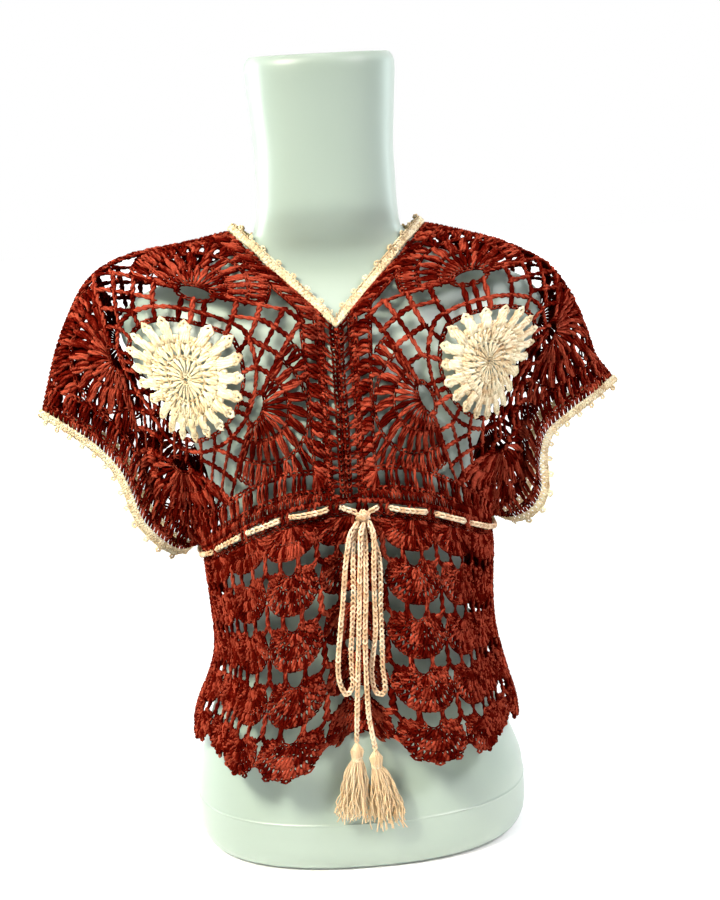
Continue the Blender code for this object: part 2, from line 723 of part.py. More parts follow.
def close_up(parts):
    """Joins runs of sections end to end, averaging the sections where two runs meet."""
    line = [np.array(part) for part in parts]
    for i in range(len(line)):
        j = (i + 1) % len(line)
        meet = (line[i][-1] + line[j][0]) / 2
        line[i][-1] = meet
        line[j][0] = meet
    return np.concatenate([part[:-1] for part in line])


def make_cuff(side):
    v = np.linspace(0, 1, MOTIF_STEPS + 1)
    one = np.ones_like(v)
    runs = []
    for face, sign in (("front", -1.0), ("back", 1.0)):
        patch = PATCHES[side, face]
        across, normal = edge_frame(patch, one, v, sign, side, 1)
        edge = patch(one, v)
        across[0] = across[0] * (1, 0, 1)
        run = np.stack([edge, across, normal], axis=1)
        runs.append(run if face == "front" else run[::-1])
    loop = close_up(runs)
    edge, across, normal = loop[:, 0], unit(loop[:, 1]), loop[:, 2]
    normal = unit(normal - (normal * across).sum(-1)[:, None] * across)
    turned = np.abs(np.arange(len(edge)) - MOTIF_STEPS)
    slack = (2 * SEAM + 3 * SEAM * np.exp(-((turned / 1.6) ** 2)))[:, None]
    return band(f"cuff_edging_{SIDE_NAME[side]}", edge, across, normal, CUFF_BAND, CREAM, slack)


def form_normals(points):
    return np.array([tuple(FORM_TREE.find_nearest(Vector(p))[1]) for p in points])


def make_neck():
    runs = []
    for face, side, turn in (("front", -1, 1), ("front", 1, -1), ("back", 1, 1), ("back", -1, -1)):
        v_y, v_z = NECK_V[face]
        neck_x, neck_z = SHOULDER[side][0]
        share = SEAM_HALF / neck_x
        t = np.r_[np.linspace(0, 1 - share, 8), 1.0][:, None]
        a, b = np.array([side * neck_x, 0.0, neck_z]), np.array([0.0, v_y, v_z])
        edge = off_form(a + (b - a) * t, CLEAR + WALL / 2)
        run = unit(np.gradient(edge, axis=0))
        normal = form_normals(edge)
        normal[1:-1] = (normal[:-2] + normal[1:-1] + normal[2:]) / 3
        normal = unit(normal - (normal * run).sum(-1)[:, None] * run)
        inward = np.cross(normal, run)
        inward *= np.sign(inward[:, 0] * -side + inward[:, 2])[:, None]
        part = np.stack([edge, inward, normal], axis=1)
        runs.append(part if turn > 0 else part[::-1])
    loop = close_up(runs)
    edge, inward, normal = loop[:, 0], unit(loop[:, 1]), loop[:, 2]
    far = off_form(edge + inward * NECK_BAND, CLEAR + WALL / 2)
    inward = unit(far - edge)
    normal = unit(normal - (normal * inward).sum(-1)[:, None] * inward)
    return band("neck_edging", edge, inward, normal, NECK_BAND, CREAM)


make_neck()
for side in (-1, 1):
    make_cuff(side)


# Drawstring: a chain cord woven round the waist, tied in front in a bow with long loops ------------
CORD_OFF = WALL / 2 + CORD_R + 0.0012
RAMP = 0.0044         # half of the length in which it goes through the cloth
CORD_STEP = 0.0120    # spacing of the sections of a hanging strand
KNOT = (0.0070, 0.0046, 0.0060)       # half width, half depth and half height of the knot
DIP = 0.0060          # the knot pulls the drawstring down this far
DIP_LONG = 0.0138     # and this far to each side


def cord(name, points, radius=CORD_R):
    curve = bpy.data.curves.new(name, "CURVE")
    curve.dimensions = "3D"
    curve.bevel_depth = radius
    curve.bevel_resolution = 2
    curve.use_fill_caps = True
    line = curve.splines.new("POLY")
    line.points.add(len(points) - 1)
    for spot, point in zip(line.points, points):
        spot.co = (*map(float, point), 1.0)
    line.use_smooth = True
    made = bpy.data.objects.new(name, curve)
    made.data.materials.append(PEACH)
    bpy.context.scene.collection.objects.link(made)
    return made


def waist_line(lengths, offsets):
    """Points beside the cloth at lengths round the waist."""
    angle = angle_at(lengths)
    down = np.full(len(lengths), CORD_DOWN)
    here = lower_point(angle, down)
    run = unit(lower_point(angle + 1.0, down) - lower_point(angle - 1.0, down))
    fall = unit(lower_point(angle, down + 0.03) - lower_point(angle, down - 0.03))
    out = unit(np.cross(run, fall))
    out *= np.sign((out * (here * (1, 1, 0))).sum(-1))[:, None]
    away = np.minimum(lengths, ARC[-1] - lengths) / DIP_LONG
    here[:, 2] -= DIP * (0.5 + 0.5 * np.cos(math.pi * np.clip(away, 0, 1)))
    return here + out * offsets[:, None]


def woven_path():
    through = crossings()
    lengths, offsets = [KNOT[0] - 0.0007], [CORD_OFF]
    outside = True
    for here, after in zip(through, np.r_[through[1:], ARC[-1]]):
        lengths += [here - RAMP, here + RAMP]
        offsets += [CORD_OFF if outside else -CORD_OFF, -CORD_OFF if outside else CORD_OFF]
        outside = not outside
        for k in range(1, round((after - here) / PERIOD * 2)):
            lengths.append(here + (after - here) * k / round((after - here) / PERIOD * 2))
            offsets.append(CORD_OFF)
    lengths.append(ARC[-1] - KNOT[0] + 0.0007)
    offsets.append(CORD_OFF)
    order = np.argsort(lengths)
    return waist_line(np.array(lengths)[order], np.array(offsets)[order])


cord("drawstring_waist", woven_path())

knot_at = waist_line(np.zeros(1), np.array([WALL / 2 + KNOT[1] + 0.0012]))[0]
ball = bmesh.new()
bmesh.ops.create_uvsphere(ball, u_segments=14, v_segments=9, radius=1.0)
knot_mesh = bpy.data.meshes.new("drawstring_knot")
for vert in ball.verts:
    vert.co = Vector(knot_at) + Vector(k * c for k, c in zip(KNOT, vert.co))
ball.to_mesh(knot_mesh)
ball.free()
knot = bpy.data.objects.new("drawstring_knot", knot_mesh)
knot_mesh.materials.append(PEACH)
for face in knot_mesh.polygons:
    face.use_smooth = True
bpy.context.scene.collection.objects.link(knot)

# Hanging strands: height, distance right of the knot's middle, distance in front of it.
# Each starts under the knot, three abreast in two rows, and spreads before the rows merge.
HANG_Y = 0.0030       # the strands hang this far in front of the knot's middle
LOOP_LEFT = (
    # below knot, right, front
    (0.0051, -0.0050, 0.0025), (0.014, -0.0120, 0.0025), (0.042, -0.0180, 0.0030), (0.071, -0.0215, 0.0030),
    (0.108, -0.0265, 0.0030), (0.137, -0.0300, 0.0035), (0.154, -0.0293, 0.0035), (0.165, -0.0255, 0.0030),
    (0.167, -0.0210, 0.0020), (0.160, -0.0178, 0.0015), (0.128, -0.0175, 0.0025), (0.108, -0.0158, 0.0030),
    (0.071, -0.0125, 0.0030), (0.042, -0.0112, 0.0020), (0.024, -0.0095, -0.0015), (0.012, -0.0065, -0.0025),
    (0.0051, -0.0050, -0.0020),
)
END_LEFT = (
    (0.0060, 0.0000, 0.0025), (0.016, -0.0030, 0.0030), (0.042, -0.0050, 0.0035), (0.071, -0.0070, 0.0035),
    (0.108, -0.0095, 0.0035), (0.141, -0.0120, 0.0040), (0.176, -0.0145, 0.0045), (0.212, -0.0170, 0.0050),
)
END_RIGHT = (
    (0.0063, 0.0000, -0.0020), (0.014, 0.0010, -0.0025), (0.028, 0.0010, -0.0010), (0.044, 0.0000, 0.0035),
    (0.071, -0.0012, 0.0035), (0.108, -0.0038, 0.0035), (0.141, -0.0048, 0.0040), (0.176, -0.0048, 0.0045),
    (0.196, -0.0035, 0.0050), (0.220, 0.0000, 0.0055),
)
LOOP_RIGHT = (
    (0.0051, 0.0050, 0.0025), (0.014, 0.0085, 0.0025), (0.028, 0.0085, 0.0025), (0.044, 0.0075, 0.0010),
    (0.071, 0.0065, 0.0005), (0.108, 0.0060, 0.0000), (0.128, 0.0030, -0.0010), (0.146, 0.0005, -0.0010),
    (0.161, 0.0015, -0.0010), (0.170, 0.0050, -0.0012), (0.172, 0.0098, -0.0015), (0.164, 0.0125, -0.0015),
    (0.146, 0.0110, -0.0015), (0.116, 0.0115, -0.0015), (0.086, 0.0118, -0.0015), (0.056, 0.0130, -0.0020),
    (0.036, 0.0125, -0.0025), (0.020, 0.0080, -0.0028), (0.0051, 0.0050, -0.0020),
)


def hang(rows):
    flat = np.array(rows)
    chord = np.linalg.norm(np.diff(flat, axis=0), axis=1).sum()
    even = spline(flat, np.linspace(0, 1, int(chord / CORD_STEP) + 2))
    lean = HANG_Y * np.clip(even[:, 0] / 0.04, 0, 1)
    return knot_at + np.c_[even[:, 1], -even[:, 2] - lean, -even[:, 0]]


for name, rows in (("loop_left", LOOP_LEFT), ("loop_right", LOOP_RIGHT), ("end_left", END_LEFT), ("end_right", END_RIGHT)):
    cord(f"drawstring_{name}", hang(rows))


# Tassels: a bound head with separate strands below, their roots fused into it ---------------
TASSEL_HEAD = (0.0060, 0.0085)        # radius and half height
TASSEL_SKIRT = 0.068
TASSEL_STRANDS = 18
STRAND_R = 0.0009
STRAND_SPREAD = 0.0135                # half width of the skirt at its tips


def make_tassel(name, top, lean):
    radius, half = TASSEL_HEAD
    middle = np.array(top) - (0, 0, half + 0.0004)
    head = bmesh.new()
    bmesh.ops.create_uvsphere(head, u_segments=10, v_segments=7, radius=1.0)
    for vert in head.verts:
        vert.co = Vector(middle) + Vector((vert.co.x * radius, vert.co.y * radius, vert.co.z * half))
    mesh = bpy.data.meshes.new(name)
    head.to_mesh(mesh)
    head.free()
    points, faces = [], []
    for k in range(TASSEL_STRANDS):
        turn = k * 2.39996
        ring_share = math.sqrt((k + 0.5) / TASSEL_STRANDS)
        root = np.array([math.cos(turn), math.sin(turn)]) * radius * 0.80 * ring_share
        tip = np.array([math.cos(turn), math.sin(turn) * 0.62]) * STRAND_SPREAD * ring_share
        length = TASSEL_SKIRT * (0.86 + 0.14 * math.cos(k * 1.7))
        first = len(points)
        for step in range(4):
            t = step / 3
            mid = root + (tip + (lean, 0.0) - root) * t**0.8
            mid = mid + 0.0012 * math.sin(k * 2.1 + 4 * t) * t * np.array([1.0, 0.4])
            z = middle[2] - half * 0.35 - t * length
            for corner in range(3):
                a = turn + corner * 2 * math.pi / 3
                points.append((middle[0] + mid[0] + STRAND_R * math.cos(a), middle[1] + mid[1] + STRAND_R * math.sin(a), z))
        for step in range(3):
            for corner in range(3):
                p, q = first + 3 * step + corner, first + 3 * step + (corner + 1) % 3
                faces.append((p, q, q + 3, p + 3))
        faces.append((first, first + 1, first + 2))
        faces.append((first + 11, first + 10, first + 9))
    strands = put(name + "_strands", points, faces, PEACH, smooth=False)
    strands.hide_render = True
    strands.display_type = "WIRE"
    made = bpy.data.objects.new(name, mesh)
    mesh.materials.append(PEACH)
    bpy.context.scene.collection.objects.link(made)
    join = made.modifiers.new("strands", "BOOLEAN")
    join.operation = "UNION"
    join.solver = "EXACT"
    join.object = strands
    join.use_self = True
    return made


make_tassel("tassel_left", hang(END_LEFT)[-1], -0.0070)
make_tassel("tassel_right", hang(END_RIGHT)[-1], 0.0100)
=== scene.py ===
# %% [markdown]
# # A crochet top on a dress form
# The top is worked in cotton yarn: four openwork squares make the yoke and the cap sleeves, a tube of shell
# stitch makes the lower body, and a chain drawstring with tassels gathers the waist. Everything that shows is
# yarn, so the lesson builds a handful of short stitches once, and then lays thousands of them on the surfaces
# that the solid model gives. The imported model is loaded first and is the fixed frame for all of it.

# %% Load the frame
import math

import bmesh
import bpy
import numpy as np
from mathutils import Matrix, Vector
from mathutils.bvhtree import BVHTree


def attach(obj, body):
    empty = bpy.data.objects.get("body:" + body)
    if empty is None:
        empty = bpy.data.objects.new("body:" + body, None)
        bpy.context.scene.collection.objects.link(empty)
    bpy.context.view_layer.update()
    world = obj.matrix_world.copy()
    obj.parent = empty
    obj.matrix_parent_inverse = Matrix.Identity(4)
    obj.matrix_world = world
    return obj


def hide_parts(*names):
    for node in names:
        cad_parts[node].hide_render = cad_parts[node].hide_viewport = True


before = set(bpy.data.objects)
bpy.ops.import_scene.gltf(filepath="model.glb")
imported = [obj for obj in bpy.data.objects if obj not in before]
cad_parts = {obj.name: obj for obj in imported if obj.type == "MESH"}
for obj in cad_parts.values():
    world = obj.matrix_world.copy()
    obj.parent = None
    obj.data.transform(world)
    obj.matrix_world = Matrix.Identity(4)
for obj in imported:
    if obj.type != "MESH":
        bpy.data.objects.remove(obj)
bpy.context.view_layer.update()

# %% [markdown]
# The camera comes first. It stands a little left of the middle and a little above the waist, turned by three
# degrees, so the right shoulder sits slightly higher in the picture.

# %% Camera
CAMERA_AT = Vector((-0.0585, -1.499, 0.727))
CAMERA_TO = Vector((0.020, -0.001, 0.382))
CAMERA_LENS = 64.03
CAMERA_ROLL = 3.0

camera = bpy.data.objects.new("camera", bpy.data.cameras.new("camera"))
bpy.context.scene.collection.objects.link(camera)
camera.data.lens = CAMERA_LENS
aim = (CAMERA_TO - CAMERA_AT).to_track_quat("-Z", "Y")
camera.matrix_world = (
    Matrix.Translation(CAMERA_AT) @ aim.to_matrix().to_4x4() @ Matrix.Rotation(math.radians(-CAMERA_ROLL), 4, "Z")
)
bpy.context.scene.camera = camera
print("camera", round((CAMERA_TO - CAMERA_AT).length, 3), "m from its target")

# %% [markdown]
# The real top measures about 54 cm from sleeve to sleeve and 46 cm from shoulder to hem. The sizes and the
# short tables below describe its surfaces, and the same names drive the solid model, so a stitch that is laid
# on them lies where the solid is.

# %% Sizes
WALL = 0.002          # thickness of the crochet cloth
SEAM = 0.0004         # gap between neighbouring pieces
CLEAR = 0.0026        # least gap between the cloth and the form
MOTIF = 0.248         # side of one square motif, as crocheted flat
HALF = MOTIF / 2
FLOWER_WIDE = 0.057   # half width and half height of the cream flower
FLOWER_TALL = 0.047
MOTIF_STEPS = 15
KNEE = 7 / 15         # share of a motif's inner edge that lies on the neckline
EYE_AT = 0.43         # eye of each corner fan, along the half diagonal
EYE_LONG = 0.0135
EYE_WIDE = 0.0065
NET_PITCH = 0.0155    # side of one cell of the chain netting
NET_TOP = 0.107       # corner of the netting, from the middle of the motif
NET_ROWS = 4
NECK_BAND = 0.0085
CUFF_BAND = 0.0080
SEAM_HALF = 0.0125
CORD_R = 0.0020
CORD_OVER = 0.0335    # the drawstring runs outside the cloth for this long,
CORD_UNDER = 0.0125   # then inside for this long
REPEATS = 18          # shell repeats round the lower body
TIERS = 4
SCALLOPS = 36

# Dress form: height, half width, depth to the front and to the back, and shift to the right
FORM = (
    (0.000, 0.152, 0.107, 0.094, 0.004),
    (0.005, 0.158, 0.113, 0.099, 0.004),
    (0.018, 0.163, 0.117, 0.103, 0.004),
    (0.045, 0.163, 0.117, 0.104, 0.004),
    (0.068, 0.161, 0.112, 0.103, 0.004),
    (0.100, 0.151, 0.105, 0.101, 0.002),
    (0.145, 0.134, 0.098, 0.096, 0.000),
    (0.185, 0.123, 0.093, 0.090, 0.000),
    (0.240, 0.115, 0.088, 0.084, 0.000),
    (0.295, 0.116, 0.090, 0.080, 0.000),
    (0.345, 0.122, 0.099, 0.082, 0.000),
    (0.380, 0.129, 0.106, 0.086, 0.000),
    (0.415, 0.143, 0.109, 0.090, 0.000),
    (0.450, 0.165, 0.102, 0.092, 0.000),
    (0.480, 0.187, 0.089, 0.090, 0.000),
    (0.505, 0.198, 0.075, 0.085, 0.000),
    (0.525, 0.198, 0.062, 0.074, 0.000),
    (0.541, 0.183, 0.047, 0.057, 0.000),
    (0.555, 0.149, 0.039, 0.047, 0.000),
    (0.567, 0.114, 0.036, 0.040, 0.000),
    (0.579, 0.084, 0.037, 0.038, 0.000),
    (0.595, 0.068, 0.045, 0.046, 0.000),
    (0.618, 0.065, 0.055, 0.057, 0.001),
    (0.670, 0.064, 0.058, 0.058, 0.001),
    (0.742, 0.069, 0.062, 0.062, 0.001),
    (0.753, 0.067, 0.060, 0.060, 0.001),
)
FORM_SQUARE = 2.35

# Shoulder fold: distance out x and height z, from the neck to the sleeve tip
SHOULDER = {
    -1: ((0.092, 0.598), (0.137, 0.588), (0.177, 0.582), (0.208, 0.572), (0.230, 0.554), (0.247, 0.525), (0.261, 0.494), (0.278, 0.441)),
    1: ((0.092, 0.596), (0.134, 0.583), (0.171, 0.569), (0.206, 0.547), (0.229, 0.514), (0.243, 0.481), (0.251, 0.459), (0.266, 0.440)),
}
# Sleeve opening: out x, forward y and height z, from the sleeve tip to the underarm
CUFF = {
    -1: ((0.278, 0.000, 0.441), (0.252, 0.020, 0.428), (0.225, 0.031, 0.409), (0.207, 0.036, 0.388),
         (0.197, 0.038, 0.365), (0.189, 0.037, 0.338), (0.173, 0.030, 0.315), (0.157, 0.018, 0.301)),
    1: ((0.266, 0.000, 0.440), (0.244, 0.020, 0.429), (0.217, 0.031, 0.414), (0.194, 0.036, 0.396),
        (0.187, 0.039, 0.369), (0.188, 0.038, 0.342), (0.180, 0.030, 0.322), (0.162, 0.018, 0.311)),
}
NECK_V = {"front": (-0.086, 0.514), "back": (0.078, 0.520)}
# Middle of the flower and the four eyes of a motif: out x, forward y, height z
KEYS = {
    "flower": (0.136, 0.086, 0.476),
    "eye_neck": (0.124, 0.066, 0.551),
    "eye_centre": (0.076, 0.108, 0.450),
    "eye_sleeve": (0.200, 0.048, 0.492),
    "eye_side": (0.148, 0.060, 0.392),
}
BACK_FLATTER = 0.92
# Soft troughs in the yoke: from and to in shares of the motif, half width, depth
YOKE_FOLDS = (
    (0.80, 0.36, 0.97, 0.84, 0.075, 0.013),
    (0.66, 0.70, 0.86, 0.96, 0.050, 0.006),
    (0.20, 0.93, 0.42, 0.80, 0.050, 0.004),
)
# Lower body: height, half width on each side, depth front and back
LOWER = (
    (0.375, 0.139, 0.142, 0.112, 0.096),
    (0.310, 0.137, 0.142, 0.112, 0.096),
    (0.285, 0.135, 0.143, 0.113, 0.097),
    (0.240, 0.132, 0.141, 0.116, 0.100),
    (0.200, 0.131, 0.143, 0.120, 0.104),
    (0.180, 0.134, 0.147, 0.122, 0.107),
    (0.155, 0.142, 0.153, 0.125, 0.110),
    (0.125, 0.155, 0.161, 0.128, 0.114),
    (0.085, 0.161, 0.163, 0.130, 0.117),
)
LOWER_SQUARE = 2.3
TOP_SIDE = {-1: 0.301, 1: 0.311}
TOP_FRONT = 0.364
TOP_BACK = 0.352
HEM_Z = 0.113
# Folds of the lower body: angle, half width, depth out or in at the hem, lift of the hem, start
FOLDS = (
    (90.0, 12.0, -0.040, 0.024, 0.00),
    (62.0, 24.0, 0.022, -0.004, 0.10),
    (118.0, 26.0, 0.020, 0.003, 0.10),
    (26.0, 13.0, -0.008, 0.000, 0.25),
    (152.0, 13.0, -0.008, 0.000, 0.25),
    (215.0, 20.0, 0.012, 0.000, 0.15),
    (248.0, 13.0, -0.010, 0.010, 0.10),
    (280.0, 22.0, 0.016, 0.000, 0.15),
    (312.0, 13.0, -0.008, 0.006, 0.20),
    (338.0, 15.0, 0.006, 0.000, 0.25),
)
print("motif", MOTIF, "m, lower body", REPEATS, "shells round in", TIERS, "tiers")

# %% [markdown]
# Curves and sections. A spline runs through the rows of a table, an oval gives one level of a body, and the
# four squares of the yoke are patches stretched between their edges and pulled through five known points.

# %% Curves, sections and patches
rng = np.random.default_rng(18)


def unit(vectors):
    return vectors / np.linalg.norm(vectors, axis=-1)[..., None]


def spline(rows, t):
    """Catmull-Rom through the rows, spaced by chord length. t is an array from 0 to 1."""
    rows = np.asarray(rows, float)
    chord = np.r_[0.0, np.cumsum(np.linalg.norm(np.diff(rows, axis=0), axis=1))]
    chord /= chord[-1]
    t = np.clip(np.asarray(t, float), 0.0, 1.0)
    k = np.clip(np.searchsorted(chord, t, side="right") - 1, 0, len(rows) - 2)
    padded = np.vstack([2 * rows[0] - rows[1], rows, 2 * rows[-1] - rows[-2]])
    f = ((t - chord[k]) / (chord[k + 1] - chord[k]))[..., None]
    a, b, c, d = padded[k], padded[k + 1], padded[k + 2], padded[k + 3]
    return 0.5 * (2 * b + (c - a) * f + (2 * a - 5 * b + 4 * c - d) * f**2 + (3 * b - a - 3 * c + d) * f**3)


def between(table, column, z):
    """Smooth value of a column at height z, for tables whose first column is z."""
    rows = np.asarray(sorted(table), float)
    z = np.clip(z, rows[0, 0], rows[-1, 0])
    k = np.clip(np.searchsorted(rows[:, 0], z, side="right") - 1, 0, len(rows) - 2)
    slope = np.gradient(rows[:, column], rows[:, 0])
    h = rows[k + 1, 0] - rows[k, 0]
    f = (z - rows[k, 0]) / h
    low, high = rows[k, column], rows[k + 1, column]
    return (
        (2 * f**3 - 3 * f**2 + 1) * low + (f**3 - 2 * f**2 + f) * h * slope[k]
        + (3 * f**2 - 2 * f**3) * high + (f**3 - f**2) * h * slope[k + 1]
    )


def oval(angle, left, right, front, back, square):
    """Section of a body. The angle runs from the left side over the front, in degrees."""
    a = np.radians(angle)
    cos, sin = np.cos(a), np.sin(a)
    wide = np.where(cos > 0, left, right)
    deep = np.where(sin > 0, front, back)
    x = -np.sign(cos) * wide * np.abs(cos) ** (2 / square)
    y = -np.sign(sin) * deep * np.abs(sin) ** (2 / square)
    return x, y


def waist_z(angle):
    a = np.radians(angle)
    side = np.where(np.cos(a) > 0, TOP_SIDE[-1], TOP_SIDE[1])
    middle = (TOP_SIDE[-1] + TOP_SIDE[1]) / 2
    side = middle + (side - middle) * np.abs(np.cos(a)) ** 0.7
    top = np.where(np.sin(a) > 0, TOP_FRONT, TOP_BACK)
    return side + (top - side) * np.sin(a) ** 2


def fold(angle, centre, half):
    away = (np.asarray(angle) - centre + 180.0) % 360.0 - 180.0
    return np.exp(-((away / half) ** 2) * 1.6)


def lower_point(angle, down):
    """A point of the lower body at an angle round it and a share of the way down."""
    angle = np.asarray(angle, float)
    down = np.asarray(down, float)
    lift = sum(up * fold(angle, at, half) for at, half, _, up, _ in FOLDS)
    z = waist_z(angle) * (1 - down) + (HEM_Z + lift) * down
    left, right, front, back = (between(LOWER, column, z) for column in (1, 2, 3, 4))
    x, y = oval(angle, left, right, front, back, LOWER_SQUARE)
    out = 0.0
    for at, half, depth, _, start in FOLDS:
        grown = np.clip((down - start) / (1 - start), 0.0, 1.0) ** 0.8
        out = out + depth * grown * fold(angle, at, half)
    length = np.hypot(x, y)
    return np.stack([x * (1 + out / length), y * (1 + out / length), z], axis=-1)


def waist_angle(side, face, t):
    """Angle along the waist seam of a motif, from the centre seam (0) to the side (1)."""
    start = math.degrees(math.acos(min(1.0, (SEAM_HALF / 0.139) ** (LOWER_SQUARE / 2))))
    angle = start * (1 - np.asarray(t, float))
    if face == "back":
        angle = -angle
    return angle if side < 0 else 180.0 - angle


def patch_edges(side, face):
    sign = -1.0 if face == "front" else 1.0
    v_y, v_z = NECK_V[face]
    neck_x, neck_z = SHOULDER[side][0]
    share = SEAM_HALF / neck_x
    knee = np.array([side * SEAM_HALF, v_y * (1 - share), v_z + (neck_z - v_z) * share])
    neck = np.array([side * neck_x, 0.0, neck_z])
    foot = lower_point(waist_angle(side, face, 0.0), 0.0)
    foot[0] = side * SEAM_HALF

    def inner(t):
        t = np.asarray(t, float)[..., None]
        return np.where(t < KNEE, neck + (knee - neck) * t / KNEE, knee + (foot - knee) * (t - KNEE) / (1 - KNEE))

    def shoulder(t):
        flat = spline(SHOULDER[side], t)
        return np.stack([side * flat[..., 0], np.zeros(len(flat)), flat[..., 1]], axis=-1)

    arm = lower_point(waist_angle(side, face, 1.0), 0.0)
    cuff_rows = [(side * x, sign * y, z) for x, y, z in CUFF[side]] + [tuple(arm)]

    def cuff(t):
        return spline(cuff_rows, t)

    def waist(t):
        line = lower_point(waist_angle(side, face, t), 0.0)
        line[..., 0] = np.where(np.asarray(t) <= 0, side * SEAM_HALF, line[..., 0])
        return line

    return inner, cuff, shoulder, waist


def coons(edges, u, v):
    inner, cuff, shoulder, waist = edges
    u3, v3 = u[..., None], v[..., None]
    zero, one = np.zeros(1), np.ones(1)
    corners = (inner(zero)[0], cuff(zero)[0], inner(one)[0], cuff(one)[0])
    sides = (1 - u3) * inner(v) + u3 * cuff(v)
    ends = (1 - v3) * shoulder(u) + v3 * waist(u)
    flat = (
        (1 - u3) * (1 - v3) * corners[0] + u3 * (1 - v3) * corners[1]
        + (1 - u3) * v3 * corners[2] + u3 * v3 * corners[3]
    )
    return sides + ends - flat


def swell(u, v):
    """Five shapes that vanish on the edges of a patch."""
    base = 16 * u * (1 - u) * v * (1 - v)
    a, b = 2 * u - 1, 2 * v - 1
    return np.stack([base, base * a, base * b, base * a * b, base * (a * a + b * b)], axis=-1)


KEY_UV = {
    "flower": (0.5, 0.5),
    "eye_neck": (0.5 - EYE_AT / 2, 0.5 - EYE_AT / 2),
    "eye_centre": (0.5 - EYE_AT / 2, 0.5 + EYE_AT / 2),
    "eye_sleeve": (0.5 + EYE_AT / 2, 0.5 - EYE_AT / 2),
    "eye_side": (0.5 + EYE_AT / 2, 0.5 + EYE_AT / 2),
}


def make_patch(side, face):
    """A function from (u, v) to points, through the edges and the five key points."""
    sign, reach = (-1.0, 1.0) if face == "front" else (1.0, BACK_FLATTER)
    edges = patch_edges(side, face)
    uv = np.array([KEY_UV[name] for name in KEYS])
    want = np.array([(side * x, sign * reach * y, z) for x, y, z in KEYS.values()])
    bare = coons(edges, uv[:, 0], uv[:, 1])
    weights = np.linalg.solve(swell(uv[:, 0], uv[:, 1]), want - bare)

    def patch(u, v):
        u, v = np.asarray(u, float), np.asarray(v, float)
        made = coons(edges, u, v) + swell(u, v) @ weights
        held = np.clip(12 * np.minimum(np.minimum(u, 1 - u), np.minimum(v, 1 - v)), 0, 1)
        for u0, v0, u1, v1, half, depth in YOKE_FOLDS:
            run = np.array([u1 - u0, v1 - v0])
            f = np.clip(((u - u0) * run[0] + (v - v0) * run[1]) / (run @ run), 0, 1)
            away = np.hypot(u - u0 - f * run[0], v - v0 - f * run[1])
            made[..., 1] -= sign * depth * held * np.exp(-((away / half) ** 2)) * np.sin(math.pi * (0.15 + 0.7 * f))
        return made

    return patch


PATCHES = {(side, face): make_patch(side, face) for side in (-1, 1) for face in ("front", "back")}
SIDE_NAME = {-1: "left", 1: "right"}
print("patches:", len(PATCHES))

# %% [markdown]
# The dress form is a smooth hollow moulding in pale mint plastic. One circle, extruded upwards ring by ring
# and set to the oval of each height, gives a rounder shape than the faceted solid, with a shallow moulding
# line near the foot where the two halves of the mould met.

# %% Dress form
FORM_SIDES = 96
FORM_RINGS = 110
MOULD_LINE = 0.049    # height of the moulding line round the foot of the form
MOULD_HIGH = 0.0006


def level_of(z):
    """Half width and depths of the form at a height, straight between the rows as in the solid, then eased."""
    spread = 0.004
    heights = np.clip(z + spread * np.linspace(-1, 1, 9), FORM[0][0], FORM[-1][0])
    rows = np.array(FORM)
    return [float(np.interp(heights, rows[:, 0], rows[:, k]).mean()) for k in (1, 2, 3, 4)]


def make_form():
    heights = np.unique(np.r_[
        0.0, 0.0012, 0.003, 0.005, np.linspace(0.009, 0.744, FORM_RINGS), 0.7475, 0.7505, 0.7522, 0.753,
        MOULD_LINE - 0.0022, MOULD_LINE - 0.0007, MOULD_LINE, MOULD_LINE + 0.0007, MOULD_LINE + 0.0022,
    ])
    work = bmesh.new()
    angle = work.verts.layers.float.new("angle")
    bmesh.ops.create_circle(work, cap_ends=True, segments=FORM_SIDES, radius=1.0)
    ring, edges = list(work.verts), list(work.edges)
    for vert in ring:
        vert[angle] = math.degrees(math.atan2(-vert.co.y, -vert.co.x))
    for level, z in enumerate(heights):
        if level:
            grown = bmesh.ops.extrude_edge_only(work, edges=edges)["geom"]
            ring = [g for g in grown if isinstance(g, bmesh.types.BMVert)]
            held = set(ring)
            edges = [g for g in grown if isinstance(g, bmesh.types.BMEdge) and held.issuperset(g.verts)]
        half, front, back, shift = level_of(z)
        inset = 0.0030 * max(0.0, 1 - z / 0.0045) ** 2 + 0.0035 * max(0.0, (z - 0.7455) / 0.0075) ** 2
        if abs(z - MOULD_LINE) < 0.0005:
            inset = -MOULD_HIGH
        x, y = oval(
            np.array([vert[angle] for vert in ring]), half - inset, half - inset, front - inset, back - inset,
            FORM_SQUARE,
        )
        for vert, px, py in zip(ring, x, y):
            vert.co = Vector((px + shift, py, z))
    bmesh.ops.edgeloop_fill(work, edges=edges)
    bmesh.ops.recalc_face_normals(work, faces=work.faces)
    mesh = bpy.data.meshes.new("form_shell")
    work.to_mesh(mesh)
    work.free()
    for face in mesh.polygons:
        face.use_smooth = len(face.vertices) == 4
    made = bpy.data.objects.new("form_shell", mesh)
    bpy.context.scene.collection.objects.link(made)
    return made


form = make_form()
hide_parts("dress_form")
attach(form, "root")
cad_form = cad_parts["dress_form"].data
FORM_TREE = BVHTree.FromPolygons([v.co for v in cad_form.vertices], [tuple(p.vertices) for p in cad_form.polygons])
print("form:", len(form.data.polygons), "faces")


def off_form(points, least):
    """Moves each point out until it is at least this far from the form."""
    moved = []
    for point in points:
        spot = Vector(point)
        near, normal, _, _ = FORM_TREE.find_nearest(spot)
        if (spot - near).dot(normal) < least:
            spot = near + normal * least
        moved.append(tuple(spot))
    return np.array(moved)


